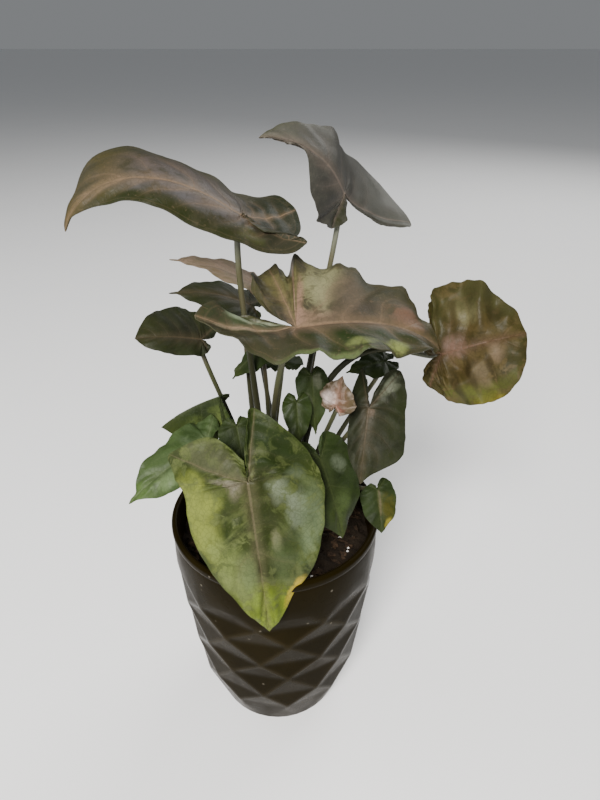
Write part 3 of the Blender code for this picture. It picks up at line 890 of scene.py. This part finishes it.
def wave_height(leaf, side, share, out, seed):
    """Height in millimetres of the margin's waves, and of the flap that some leaves raise."""
    fade = np.minimum(1.0, share / 0.15) * np.minimum(1.0, (1.0 - share) / 0.1)
    turns = 2.0 * math.pi * leaf["waves"] * share + 2.1 * side
    swing = leaf["wave"][side]
    wave = swing * np.sin(turns) * out**2.2 * fade
    wave += 0.3 * swing * np.sin(2.7 * turns + seed) * out**5 * fade
    place, reach = leaf["hump_at"]
    return wave + leaf["hump"][side] * np.exp(-(((share - place) / reach) ** 2)) * out**2


print("margin teeth", RAGGED_TEETH, "a side")


# %% Bend one half
LONG_BLADE = 80.0
FAR_OFF = 30.0


def bend_half(leaf, side, length, x, y, height):
    """Bends flat points with their height about the midrib's arc, the fold and the lobe's own bend."""
    sign = 1.0 if side == 0 else -1.0
    bow = math.radians(leaf["bow"])
    start, arc_x, arc_z = midrib_arc(bow, leaf["bow_bias"])
    fold = math.radians(leaf["fold"][side])
    curl = math.radians(leaf["curl"][side]) / leaf["width"][side]
    slope = fold - curl * y
    over = (math.sin(fold) - np.sin(slope)) / curl
    rise = (np.cos(slope) - math.cos(fold)) / curl + height
    ahead = np.clip(x / length, 0.0, 1.0)
    behind = np.minimum(x, 0.0)
    lobe_curl = math.radians(leaf["lobe_bend"][side] or 0.01) / leaf["lobe"][side]
    lobe_angle = start - lobe_curl * behind
    lobe_x = (np.sin(lobe_angle) - math.sin(start)) / -lobe_curl
    lobe_z = (np.cos(lobe_angle) - math.cos(start)) / lobe_curl
    grid = np.linspace(0.0, 1.0, SPINE_STEPS + 1)
    on_blade = x >= 0.0
    spine_x = np.where(on_blade, np.interp(ahead, grid, arc_x) * length, lobe_x)
    spine_z = np.where(on_blade, np.interp(ahead, grid, arc_z) * length, lobe_z)
    angle = np.where(on_blade, start - bow * ahead ** leaf["bow_bias"], lobe_angle)
    twist = math.radians(leaf["twist"]) * ahead * sign
    turned_over = over * np.cos(twist) - rise * np.sin(twist)
    turned_rise = over * np.sin(twist) + rise * np.cos(twist)
    return np.stack((
        spine_x - turned_rise * np.sin(angle),
        sign * turned_over,
        spine_z + turned_rise * np.cos(angle),
    ), axis=-1)


def strong_veins(leaf, length, share, out, x, y):
    """Distance from the midrib or the lobe's vein, counted in the vein's own half width."""
    size = leaf["rib"] * (length / LONG_BLADE) ** 0.5
    midrib_width = 0.9 * size * (0.45 + 0.9 * np.minimum(1.0, share * 2.0))
    lobe_width = 0.55 * size * (1.2 - out)
    to_midrib = y / midrib_width + np.where(x < 0.0, -x / 0.8, 0.0)
    to_lobe_vein = np.abs(share - LOBE_VEIN) * 4.0 * np.hypot(x, y) * 0.9 / lobe_width
    return np.minimum(to_midrib, to_lobe_vein + np.where(share < 0.5, FAR_OFF, 0.0))


print("bending and strong veins ready")


# %% Points and maps of one half
def half_blade(leaf, side, seed):
    """Points of one half in the leaf's own axes, rows from tip to notch, and what its material reads."""
    sign = 1.0 if side == 0 else -1.0
    spans, strips = DETAIL[leaf["size"]]
    arc_x = midrib_arc(math.radians(leaf["bow"]), leaf["bow_bias"])[1]
    length = np.linalg.norm(np.array(leaf["tip"], float) - np.array(leaf["base"], float)) / arc_x[-1]
    margin = ragged_margin(leaf, side, length, seed)
    rows = len(margin)
    row = np.arange(rows)[:, None]
    out = np.arange(strips + 1)[None, :] / strips * np.ones((rows, 1))
    root = length * (1.0 - np.minimum(1.0, row / (SPANS_TO_JUNCTION * spans)))
    x = root + (margin[:, :1] - root) * out
    y = margin[:, 1:] * out
    share = row / (rows - 1) * np.ones_like(out)
    counts = vein_counts(leaf, share, out, soft_noise(x, sign * y, 15.0, seed + 9.0))
    height = wave_height(leaf, side, share, out, seed) + relief(leaf, share, out, x, sign * y, counts, seed)
    rib_reach = strong_veins(leaf, length, share, out, x, y)
    maps = {
        "ahead": share, "across": out, "side": sign * out, "side_count": counts[0], "lobe_count": counts[1],
        "rib_reach": rib_reach,
        "swell": np.exp(-((rib_reach / 1.7) ** 2)) * np.minimum(1.0, share / 0.2),
    }
    return bend_half(leaf, side, length, x, y, height), maps, length


print("largest grid", DETAIL["large"][0] * 8 + 1, "rows by", DETAIL["large"][1] * 2 + 1, "columns")


# %% Lay one grid over a blade
THICKNESS_LEVELS = 20.0


def grow_blade(name, leaf, seed):
    """The bent, quilted sheet of one leaf with its thickness. Its underside gets the second material."""
    right, right_maps, length = half_blade(leaf, 1, seed)
    left, left_maps, length = half_blade(leaf, 0, seed)
    rows, half_columns = right.shape[:2]
    blade = add_grid(2 * half_columns - 1, rows)
    local = np.concatenate((right[:, :0:-1], left), axis=1).reshape(-1, 3)
    place_points(blade, np.array(leaf["base"], float) + local @ np.array(leaf_axes(leaf)))
    maps = {}
    for label in left_maps:
        maps[label] = np.concatenate((right_maps[label][:, :0:-1], left_maps[label]), axis=1).ravel()
        add_map(blade, label, maps[label])
    swell = np.round(maps["swell"] * THICKNESS_LEVELS) / THICKNESS_LEVELS
    thickness = swell * (1.0 - BLADE_THICKNESS / RIB_THICKNESS) + BLADE_THICKNESS / RIB_THICKNESS
    ribs = blade.vertex_groups.new(name="ribs")
    for value in np.unique(thickness):
        ribs.add(np.flatnonzero(thickness == value).tolist(), float(value), "REPLACE")
    merge_and_face_out(blade, 0.03, outward=False)
    dress(blade, upper_finish(name), under_finish(name))
    apply_modifier(
        blade, "SOLIDIFY", thickness=RIB_THICKNESS * MM, offset=-1.0, vertex_group="ribs", material_offset=1,
        material_offset_rim=0,
    )
    blade.vertex_groups.clear()
    shade_smooth(blade, 62.0)
    finish_piece(blade, "blade_" + name, NODE_SLOT["leaf_" + name], "leaf_" + name)
    return blade, length


print("blade maker ready")


# %% [markdown]
# ### Leaf colours
# Young leaves of this plant are pink and bronze, older ones green. Nine palettes cover all the leaves.
# Each names the colour round the midrib, towards the margin and at the tip, that of the blotches, the
# ribs, the underside and the pale streaks, in thousandths, and then how much the streaks, the veins and
# the shine count. On the olive leaf the streak colour is a painted golden sheen between the creases.

# %% Palettes
PALETTES = {
    "bronze": dict(
        middle=(33, 27, 20), margin=(25, 25, 9), tip=(32, 29, 9), blotch=(20, 20, 12), rib=(145, 98, 60),
        under=(32, 32, 21), streak_and_sheen=(49, 41, 22), streaked=0.45, veined=0.55, shine=0.09,
    ),
    "purple": dict(
        middle=(42, 40, 33), margin=(36, 37, 28), tip=(34, 36, 19), blotch=(29, 28, 24), rib=(112, 88, 71),
        under=(54, 51, 41), streak_and_sheen=(58, 58, 46), streaked=0.40, veined=0.40, shine=0.09,
    ),
    "dusk": dict(
        middle=(14, 15, 7), margin=(13, 17, 6), tip=(16, 18, 6), blotch=(10, 11, 7), rib=(48, 37, 22),
        under=(30, 29, 22), streak_and_sheen=(26, 28, 18), streaked=0.45, veined=0.30, shine=0.06,
    ),
    # painted highlight: the olive streak colour is a painted golden sheen between the creases
    "olive": dict(
        middle=(36, 26, 8), margin=(26, 24, 6), tip=(26, 24, 6), blotch=(16, 14, 5), rib=(75, 42, 27),
        under=(35, 32, 11), streak_and_sheen=(80, 58, 24), streaked=0.60, veined=0.20, shine=0.07,
    ),
    "green": dict(
        middle=(10, 17, 4), margin=(15, 25, 6), tip=(21, 29, 6), blotch=(7, 11, 3), rib=(27, 36, 11),
        under=(21, 29, 10), streak_and_sheen=(24, 34, 12), streaked=0.45, veined=0.55, shine=0.08,
    ),
    "light_green": dict(
        middle=(20, 27, 6), margin=(30, 41, 8), tip=(43, 52, 7), blotch=(9, 15, 3), rib=(78, 67, 38),
        under=(30, 42, 12), streak_and_sheen=(92, 110, 36), streaked=0.75, veined=0.30, shine=0.06,
    ),
    "fresh_green": dict(
        middle=(28, 46, 13), margin=(32, 52, 15), tip=(40, 62, 16), blotch=(14, 25, 7), rib=(65, 85, 38),
        under=(30, 42, 12), streak_and_sheen=(55, 80, 34), streaked=0.55, veined=0.45, shine=0.07,
    ),
    "pink": dict(
        middle=(160, 112, 74), margin=(120, 94, 54), tip=(95, 70, 36), blotch=(110, 94, 56),
        rib=(210, 156, 109), under=(131, 103, 61), streak_and_sheen=(240, 165, 130), streaked=0.55, veined=0.50,
        shine=0.09,
    ),
    "flushed": dict(
        middle=(90, 50, 32), margin=(60, 44, 22), tip=(70, 52, 24), blotch=(40, 32, 16), rib=(210, 130, 95),
        under=(100, 66, 42), streak_and_sheen=(300, 240, 210), streaked=0.50, veined=0.50, shine=0.09,
    ),
}
TONE_OF = {
    "upper_left": "bronze", "upper_right": "purple", "centre": "bronze", "right": "olive",
    "front": "light_green", "low_left": "fresh_green", "mid_left": "dusk", "dark_left": "dusk",
    "pale_left": "pink", "pink_young": "flushed", "hanging_right": "dusk",
}
NODE_SLOT = {part["node"]: part["material_slot"] for part in frame["record"]["subparts"]}
SEEDS = {name: 1.7 * (number + 1) for number, name in enumerate(LEAVES)}
print("palettes", len(PALETTES))


# %% [markdown]
# ### Patches
# Some leaves have a yellow, pink or grey area at a place of their own. Other patches are painted light:
# painted sheen and highlights, and painted shade in creases and on parts that hang or turn away, each
# marked in the table. A patch is an ellipse in leaf terms: how far from the tip to the notch, how far to
# the left or right, its reach each way, its colour in thousandths and its strength. Noise frays its rim.

# %% Patch table
PATCHES = {
    "front": [
        # painted shade: the top lobe, which turns away, is painted dark green
        (0.74, 0.66, 0.24, 0.55, (10, 17, 4), 1.0),
        (0.52, 0.22, 0.14, 0.26, (16, 19, 6), 1.0),
        (0.38, 0.10, 0.22, 0.18, (16, 21, 5), 0.9),
        (0.46, -0.76, 0.22, 0.30, (125, 145, 30), 1.0),
        (0.26, -0.62, 0.12, 0.32, (105, 130, 40), 0.8),
        (0.22, -0.28, 0.08, 0.25, (75, 95, 40), 0.7),
        (0.18, 0.92, 0.05, 0.16, (360, 260, 22), 1.0),
        (0.06, 0.0, 0.12, 1.30, (110, 150, 12), 1.0),
        # painted sheen: the next two grey-green patches are painted sheen on the right half
        (0.48, 0.40, 0.05, 0.17, (98, 116, 74), 1.0),
        (0.42, 0.60, 0.06, 0.15, (100, 120, 78), 0.9),
        (0.53, 0.66, 0.03, 0.14, (52, 66, 36), 0.8),
        (0.33, 0.30, 0.03, 0.10, (110, 110, 60), 0.9),
        (0.37, 0.80, 0.11, 0.20, (80, 105, 55), 0.8),
        (0.28, 0.45, 0.08, 0.26, (36, 50, 18), 0.8),
        # painted sheen: the next two are a grey and a pinkish sheen near the junction
        (0.62, -0.28, 0.06, 0.24, (120, 110, 78), 0.9),
        (0.54, -0.20, 0.07, 0.14, (120, 105, 74), 0.8),
        (0.82, -0.50, 0.10, 0.60, (50, 52, 30), 0.7),
    ],
    "centre": [
        (0.36, -0.58, 0.22, 0.44, (12, 19, 5), 1.0),
        (0.24, -0.78, 0.04, 0.16, (130, 150, 45), 1.0),
        (0.34, -0.74, 0.04, 0.12, (90, 105, 36), 0.9),
        (0.46, -0.98, 0.14, 0.12, (70, 95, 35), 0.9),
        (0.60, -0.70, 0.10, 0.40, (24, 24, 12), 0.9),
        (0.64, 0.55, 0.22, 0.50, (85, 76, 30), 0.9),
        (0.43, 0.58, 0.06, 0.44, (165, 160, 85), 0.9),
        (0.565, 0.40, 0.022, 0.55, (200, 130, 90), 1.0),
        (0.50, 0.30, 0.020, 0.36, (180, 110, 75), 1.0),
        (0.66, 0.70, 0.030, 0.30, (125, 125, 55), 1.0),
        (0.36, 0.45, 0.05, 0.40, (60, 46, 30), 0.9),
        (0.15, 0.36, 0.07, 0.30, (110, 60, 38), 0.8),
        (0.50, 0.06, 0.09, 0.20, (160, 100, 70), 0.9),
        (0.84, -0.55, 0.16, 0.50, (26, 36, 15), 0.9),
        (0.74, -0.48, 0.020, 0.50, (160, 130, 85), 1.0),
        (0.84, -0.60, 0.035, 0.28, (150, 180, 115), 1.0),
        (0.93, -0.45, 0.035, 0.30, (150, 165, 110), 0.9),
    ],
    "right": [
        (0.34, -0.98, 0.10, 0.14, (170, 125, 12), 1.0),
        (0.38, -0.84, 0.24, 0.20, (52, 58, 12), 0.9),
        (0.33, 0.56, 0.09, 0.24, (80, 74, 34), 0.9),
        (0.42, 0.08, 0.07, 0.20, (110, 66, 50), 0.9),
        (0.20, -0.20, 0.06, 0.26, (100, 72, 44), 0.9),
        (0.33, -0.50, 0.05, 0.26, (90, 70, 40), 0.8),
        (0.13, -0.50, 0.07, 0.35, (22, 21, 7), 0.9),
        (0.22, 0.80, 0.16, 0.30, (32, 31, 11), 1.0),
        (0.52, 0.60, 0.10, 0.40, (30, 30, 10), 0.8),
        # painted shade: the next five thin dark lines are painted shade in the creases
        (0.27, -0.34, 0.020, 0.40, (22, 16, 6), 0.8),
        (0.38, -0.40, 0.022, 0.40, (22, 16, 6), 0.8),
        (0.26, 0.34, 0.020, 0.40, (24, 18, 6), 0.7),
        (0.40, 0.36, 0.022, 0.40, (24, 18, 6), 0.7),
        (0.47, -0.60, 0.026, 0.36, (20, 15, 6), 0.7),
    ],
    "upper_left": [
        # painted sheen: a bluish-grey sheen on the middle of the blade
        (0.38, 0.10, 0.20, 0.60, (64, 60, 62), 0.9),
        (0.38, -0.45, 0.16, 0.35, (56, 44, 38), 0.8),
        (0.32, 0.88, 0.30, 0.28, (12, 15, 4), 1.0),
        (0.12, -0.20, 0.12, 1.20, (46, 36, 13), 0.7),
        # the far lobe is painted dark green, partly its own colour, partly painted shade
        (0.82, -0.62, 0.20, 0.80, (6, 10, 3), 1.0),
        (0.78, 0.60, 0.18, 0.60, (17, 18, 11), 0.9),
        (0.59, 0.60, 0.06, 0.25, (50, 54, 16), 0.7),
    ],
    "upper_right": [
        # painted shade: the hanging near half is painted darker
        (0.40, 0.60, 0.34, 0.50, (24, 23, 20), 0.8),
        (0.40, -0.50, 0.34, 0.55, (48, 47, 41), 0.9),
        (0.74, -0.72, 0.10, 0.40, (38, 39, 31), 0.8),
        (0.78, 0.55, 0.12, 0.50, (18, 20, 7), 0.9),
    ],
    "low_left": [
        # painted highlight: a light green sheen
        (0.27, 0.50, 0.10, 0.35, (85, 120, 52), 0.9),
        (0.55, -0.55, 0.14, 0.40, (18, 32, 9), 0.8),
        (0.10, 0.0, 0.10, 1.20, (48, 85, 20), 0.8),
    ],
    "left_folded": [
        (0.50, 0.70, 0.30, 0.50, (60, 80, 20), 0.9),
    ],
    "hanging_right": [
        # painted highlight: glossy pale streaks on the upper lobe
        (0.74, 0.62, 0.07, 0.30, (120, 130, 90), 0.9),
        (0.66, 0.30, 0.04, 0.24, (36, 40, 26), 0.7),
        (0.49, 0.04, 0.04, 0.12, (90, 60, 40), 0.7),
    ],
    "rim_right": [
        (0.30, 0.50, 0.18, 0.50, (40, 38, 6), 0.9),
        (0.16, 0.80, 0.06, 0.26, (170, 145, 20), 0.9),
        (0.40, 0.04, 0.30, 0.09, (85, 60, 30), 0.8),
    ],
    "pink_young": [
        (0.45, 0.45, 0.16, 0.45, (420, 350, 320), 1.0),
        (0.70, -0.30, 0.14, 0.50, (150, 55, 40), 0.8),
    ],
    "streaked": [
        (0.55, 0.30, 0.14, 0.40, (110, 115, 80), 0.8),
        (0.30, -0.40, 0.08, 0.30, (90, 100, 60), 0.7),
    ],
    "front_right": [
        # painted sheen: a grey-green sheen
        (0.45, 0.45, 0.06, 0.22, (75, 90, 58), 0.7),
        (0.20, 0.30, 0.10, 0.40, (50, 72, 22), 0.6),
    ],
}
print("patches on", len(PATCHES), "leaves")


# %% Start of a leaf's material
def start_leaf_finish(prefix, name, skin_shift=0.0):
    """A leaf's new material with its palette, its veins and its skin."""
    finish, tree, where = start_finish(prefix + name)
    palette = {
        label: rgb(*value) if isinstance(value, tuple) else value
        for label, value in PALETTES[TONE_OF.get(name, "green")].items()
    }
    veins = use_group(tree, vein_group, {"Seed": SEEDS[name]})
    skin = use_group(tree, skin_group, {"Vector": where, "Seed": SEEDS[name] + skin_shift})
    return finish, tree, palette, veins, skin


def add_patches(tree, name, tone, fray):
    """Lays the patches, own colours and painted sheen and shade, over the colour. The fray mask eats their
    rims.
    """
    places = (attribute(tree, "ahead"), attribute(tree, "side"))
    for middle_ahead, middle_side, reach_ahead, reach_side, colour, strength in PATCHES.get(name, []):
        squares = []
        for place, middle, reach in zip(places, (middle_ahead, middle_side), (reach_ahead, reach_side)):
            away = sum_of(tree, "DIVIDE", sum_of(tree, "SUBTRACT", place, middle), reach)
            squares.append(times(tree, away, away))
        frayed = sum_of(tree, "ADD", sum_of(tree, "ADD", *squares), times(tree, fray, 1.1))
        tone = mix_colours(tree, soft_step(tree, frayed, 2.0, 0.0, 0.0, strength), tone, rgb(*colour))
    return tone


print("patches on", len(PATCHES), "leaves")


# %% Both faces of a leaf
def upper_finish(name):
    """Material of one blade's upper face."""
    finish, tree, palette, veins, skin = start_leaf_finish("leaf_skin_", name)
    across = attribute(tree, "across")
    speckled = times(tree, skin["Mottle"], soft_step(tree, skin["Clouds"], 0.0, 1.0, 0.35, 1.0))
    # pale streaks and mottling; on the olive leaf their colour is a painted golden sheen
    pale = sum_of(tree, "MAXIMUM", times(tree, veins["Streaks"], 0.7), speckled)
    tone = lay_over(
        tree,
        mix_colours(tree, soft_step(tree, across, 0.1, 0.95), palette["middle"], palette["margin"]),
        (soft_step(tree, attribute(tree, "ahead"), 0.32, 0.03), 1.0, palette["tip"]),
        (skin["Blotches"], 0.75, palette["blotch"]),
        (pale, palette["streaked"], palette["streak_and_sheen"]),
    )
    fray = times(tree, sum_of(tree, "ADD", skin["Mottle"], skin["Blotches"]), 0.5)
    veined = palette["veined"]
    tone = lay_over(
        tree,
        add_patches(tree, name, tone, fray),
        (skin["Mottle"], 0.10, palette["blotch"]),
        (veins["Rib Glow"], 0.32, palette["rib"]),
        (veins["Side Glow"], 0.42 * veined, palette["rib"]),
        (veins["Side Veins"], 0.45 * veined, palette["rib"]),
        (veins["Margin Vein"], 0.20 * veined, palette["rib"]),
        (veins["Ribs"], 0.75, palette["rib"]),
        (skin["Network"], 0.22, palette["blotch"]),
        (skin["Freckles"], 0.18, palette["rib"]),
        (soft_step(tree, across, 0.965, 1.0), 0.35, palette["under"]),
    )
    raised = sum_of(tree, "SUBTRACT", skin["Height"], times(tree, veins["Side Veins"], 1.2))
    raised = sum_of(tree, "SUBTRACT", raised, times(tree, veins["Ribs"], 1.5))
    roughness = soft_step(tree, skin["Clouds"], 0.0, 1.0, 0.40, 0.54)
    end_finish(tree, tone, roughness, palette["shine"], raised, 0.3, 0.2)
    return finish


def under_finish(name):
    """Material of the underside: paler, duller, with raised veins."""
    finish, tree, palette, veins, skin = start_leaf_finish("leaf_under_", name, skin_shift=40.0)
    tone = lay_over(
        tree,
        palette["under"],
        (skin["Clouds"], 0.5, palette["blotch"]),
        (veins["Side Veins"], 0.5, palette["rib"]),
        (veins["Ribs"], 0.8, palette["rib"]),
        (skin["Network"], 0.35, palette["rib"]),
    )
    raised = sum_of(tree, "ADD", times(tree, skin["Network"], 0.7), veins["Side Veins"])
    raised = sum_of(tree, "ADD", raised, times(tree, veins["Ribs"], 2.0))
    end_finish(tree, tone, soft_step(tree, skin["Freckles"], 0.0, 1.0, 0.56, 0.66), 0.06, raised, 0.6, 0.4)
    return finish


print("leaf finishes ready")


# %% [markdown]
# ## Stalks
# Each leaf stands on its own stalk. It is thick and sheathed where it leaves the clump, grows thinner
# upwards and swells a little into a knuckle just under the blade. A grid is wrapped round the stalk's
# middle line.

# %% Middle line of a stalk
PETIOLE_DEPTH = 14.0
STALK_COLUMNS = 16
STALK_STEPS = 44


def leaf_sag(leaf):
    """How far the blade hangs below its junction within the stalk's own radius."""
    steepest = min(min(leaf["fold"]), 0)
    return leaf["radius"][1] * math.tan(math.radians(-steepest)) + 0.1


def stalk_line(leaf):
    """Points of the middle line from the end in the soil up into the blade's underside."""
    along, _, up = leaf_axes(leaf)
    start = midrib_arc(math.radians(leaf["bow"]), leaf["bow_bias"])[0]
    normal = up * math.cos(start) - along * math.sin(start)
    end = np.array(leaf["base"], float) - normal * (BLADE_THICKNESS + 0.25 + 0.55 * leaf_sag(leaf))
    foot = np.array((*leaf["foot"], SOIL_TOP + 2.0))
    guide_low = foot + np.array((0.0, 0.0, leaf["rise"][0]))
    approach = normal if leaf["approach"] is None else np.array(leaf["approach"], float)
    guide_high = end - approach * leaf["rise"][1]
    points = [np.array((*leaf["foot"], SOIL_TOP - depth)) for depth in (PETIOLE_DEPTH, 9.0, 4.0)]
    for step in range(STALK_STEPS + 1):
        t = step / STALK_STEPS
        u = 1.0 - t
        points.append(u**3 * foot + 3 * u**2 * t * guide_low + 3 * u * t**2 * guide_high + t**3 * end)
    return np.array(points), normal


print("stalks stand", PETIOLE_DEPTH, "mm deep")


# %% Wrap a grid round the line
def grow_stalk(name, leaf):
    """A tapered stalk with its sheath, its groove and its knuckle."""
    line, normal = stalk_line(leaf)
    count = len(line)
    side_way = np.array((1.0, 0.0, 0.0))
    rings = []
    for index, point in enumerate(line):
        direction = line[min(count - 1, index + 1)] - line[max(0, index - 1)]
        direction = direction / np.linalg.norm(direction)
        side_way = side_way - direction * (side_way @ direction)
        side_way = side_way / np.linalg.norm(side_way)
        other_way = np.cross(direction, side_way)
        share = index / (count - 1)
        radius = leaf["radius"][0] + (leaf["radius"][1] - leaf["radius"][0]) * min(1.0, share * 1.6)
        knuckle = 0.16 * math.exp(-(((share - 0.955) / 0.03) ** 2))
        knuckle -= 0.12 * max(0.0, (share - 0.975) / 0.025)
        sheath = 0.14 * max(0.0, 1.0 - share / 0.36)
        ring = []
        for column in range(STALK_COLUMNS + 1):
            angle = 2.0 * math.pi * (column % STALK_COLUMNS) / STALK_COLUMNS
            groove = 0.20 * max(0.0, 1.0 - share / 0.45) * math.exp(-(((angle - 4.7) / 0.35) ** 2))
            reach = radius * (1.0 + knuckle + sheath - groove)
            offset = (side_way * math.cos(angle) + other_way * math.sin(angle)) * reach
            if index == count - 1:
                offset = offset - direction * (offset @ normal) / (direction @ normal)
            ring.append(point + offset)
        rings.append(ring)
    rings.insert(0, [line[0]] * (STALK_COLUMNS + 1))
    rings.append([line[-1]] * (STALK_COLUMNS + 1))
    stalk = add_grid(STALK_COLUMNS + 1, count + 2)
    place_points(stalk, np.array(rings).reshape(-1, 3))
    add_map(stalk, "ahead", np.repeat(np.linspace(0.0, 1.0, count + 2), STALK_COLUMNS + 1))
    merge_and_face_out(stalk)
    dress(stalk, stalk_finish)
    shade_smooth(stalk, 60.0)
    finish_piece(stalk, "stalk_" + name, "petiole", "petiole_" + name)
    return stalk


print("stalk maker ready")


# %% Stalk material
stalk_finish, tree, where = start_finish("stalk_skin")
drawn_out = add_node(tree, "Mapping", {"Vector": where, "Scale": (1.0, 1.0, 0.06)}).outputs[0]
fibres = cloud(tree, drawn_out, 900.0)
broad = cloud(tree, where, 40.0, seed=5.0)
up_stalk = attribute(tree, "ahead")
dust = use_group(tree, dust_group, {"Vector": where, "Speck Scale": 420.0})
tone = lay_over(
    tree,
    mix_colours(tree, fibres, rgb(31, 36, 14), rgb(65, 68, 32)),
    (soft_step(tree, broad, 0.40, 0.70), 0.7, rgb(62, 44, 23)),
    # painted shade: the stalks are painted almost black low down, under the leaves
    (soft_step(tree, up_stalk, 0.85, 0.45), 0.92, rgb(13, 14, 6)),
    (soft_step(tree, up_stalk, 0.74, 0.92), 0.8, rgb(150, 155, 128)),
    (soft_step(tree, up_stalk, 0.93, 0.99), 0.6, rgb(73, 52, 32)),
    (dust["Specks"], 0.35, rgb(26, 31, 13)),
)
end_finish(tree, tone, soft_step(tree, fibres, 0.3, 0.7, 0.42, 0.55), 0.15, fibres, 0.35, 0.3)
print("stalk material", len(tree.nodes), "nodes")


# %% [markdown]
# ## Grow every leaf
# The large leaves get the finest grids, the small ones in the shade coarser ones.

# %% Blades and stalks
blade_triangles = 0
for name, own in LEAVES.items():
    leaf = {**LEAF_DEFAULTS, **own}
    for key in OF_EACH_HALF:
        leaf[key] = np.broadcast_to(leaf[key], 2)
    blade, length = grow_blade(name, leaf, SEEDS[name])
    stalk = grow_stalk(name, leaf)
    blade_triangles += triangle_count(blade) + triangle_count(stalk)
    print(name, "midrib", round(length), "mm,", triangle_count(blade), "triangles")
print("all leaves and stalks", blade_triangles, "triangles")


# %% [markdown]
# ## Bark, perlite and crumbs
# The crust is mostly bark chips. White perlite grains and small crumbs lie between them. One chip, grain or
# crumb is modelled, copied, turned and sunk a little at random places that keep clear of the stalks. The
# random numbers and the noise have a fixed seed, so every run gives the same crust.

# %% Scatter helpers
SCATTER_SEED = 7
scatter = random.Random(SCATTER_SEED)
noise.seed_set(SCATTER_SEED)
STALK_FEET = [leaf["foot"] for leaf in LEAVES.values()]


def free_place(clearance, largest):
    """A random place on the soil, away from every stalk."""
    while True:
        radius = largest * math.sqrt(scatter.random())
        turn = 2.0 * math.pi * scatter.random()
        x, y = radius * math.cos(turn), radius * math.sin(turn)
        if all(math.hypot(x - foot[0], y - foot[1]) > clearance for foot in STALK_FEET):
            return x, y


def roughen(piece, amount, lump):
    """Moves each vertex by noise with lumps of this size, both in millimetres."""
    for vertex in piece.data.vertices:
        vertex.co += noise.noise_vector(vertex.co / (lump * MM)) * amount * MM


def spread_copies(model, number, clearance, largest, sink, smallest, tilt):
    """Copies of a small model on the soil, joined into one piece. largest is how far out they may lie."""
    copies = []
    for _ in range(number):
        x, y = free_place(clearance, largest)
        copy = model.copy()
        copy.data = model.data.copy()
        bpy.context.scene.collection.objects.link(copy)
        size = smallest + (1.0 - smallest) * scatter.random()
        copy.scale = (size, size * (0.7 + 0.5 * scatter.random()), size * (0.8 + 0.4 * scatter.random()))
        copy.rotation_euler = (
            math.radians(scatter.uniform(-tilt, tilt)), math.radians(scatter.uniform(-tilt, tilt)),
            2.0 * math.pi * scatter.random(),
        )
        copy.location = Vector((x, y, soil_height(x, y) - sink)) * MM
        copies.append(copy)
    bpy.data.objects.remove(model, do_unlink=True)
    start_clean()
    for copy in copies:
        copy.select_set(True)
    bpy.context.view_layer.objects.active = copies[0]
    bpy.ops.object.join()
    bpy.ops.object.transform_apply(location=True, rotation=True, scale=True)
    return bpy.context.object


print("scatter seeded")


# %% Bark chips
start_clean()
bpy.ops.mesh.primitive_cube_add(size=1.0)
chip = bpy.context.object
chip.scale = (7.0 * MM, 4.0 * MM, 1.7 * MM)
bpy.ops.object.transform_apply(scale=True)
bpy.ops.object.mode_set(mode="EDIT")
bpy.ops.mesh.select_all(action="SELECT")
bpy.ops.mesh.subdivide(number_cuts=1)
bpy.ops.object.mode_set(mode="OBJECT")
roughen(chip, 1.1, 3.0)
sharp = math.radians(40.0)
apply_modifier(chip, "BEVEL", width=0.25 * MM, segments=1, limit_method="ANGLE", angle_limit=sharp)
chips = spread_copies(chip, number=230, clearance=3.6, largest=48.0, sink=0.3, smallest=0.35, tilt=28.0)
finish_piece(chips, "bark_chips", "soil")
print("bark", triangle_count(chips), "triangles")


# %% Perlite grains and crumbs
def spread_grains(name, subdivisions, radius, rough, lump, **spread):
    """Roughened balls, spread over the soil as one piece."""
    start_clean()
    bpy.ops.mesh.primitive_ico_sphere_add(subdivisions=subdivisions, radius=radius * MM)
    model = bpy.context.object
    roughen(model, rough, lump)
    grains = spread_copies(model, **spread)
    finish_piece(grains, name, "soil")
    print(name, triangle_count(grains), "triangles")
    return grains


perlite = spread_grains(
    "perlite_grains", subdivisions=2, radius=1.3, rough=0.7, lump=1.1,
    number=70, clearance=3.2, largest=47.0, sink=0.1, smallest=0.35, tilt=90.0,
)
crumbs = spread_grains(
    "soil_crumbs", subdivisions=1, radius=1.0, rough=0.6, lump=0.8,
    number=700, clearance=2.6, largest=49.0, sink=0.15, smallest=0.3, tilt=90.0,
)


# %% Bark, perlite and crumb materials
def crust_finish(name, dark, light, scale, rough, bump_depth):
    """Material of a loose bit on the soil."""
    finish, tree, where = start_finish(name)
    grain = cloud(tree, where, scale, detail=6.0, rough=0.7)
    piece_tone = cloud(tree, where, 90.0, detail=1.0, seed=4.0)
    tone = mix_colours(tree, soft_step(tree, grain, 0.3, 0.7), dark, light)
    tone = lay_over(tree, tone, (soft_step(tree, piece_tone, 0.35, 0.65), 0.6, dark))
    end_finish(tree, tone, soft_step(tree, grain, 0.3, 0.7, rough - 0.1, rough), 0.1, grain, 0.8, bump_depth)
    return finish


dress(chips, crust_finish("bark", rgb(9, 6, 4), rgb(60, 36, 20), 600.0, 0.9, 0.4))
dress(perlite, crust_finish("perlite", rgb(420, 400, 370), rgb(720, 710, 690), 1400.0, 0.85, 0.2))
dress(crumbs, crust_finish("crumb", rgb(4, 3, 2), rgb(30, 19, 12), 900.0, 0.98, 0.3))
print("crust materials ready")
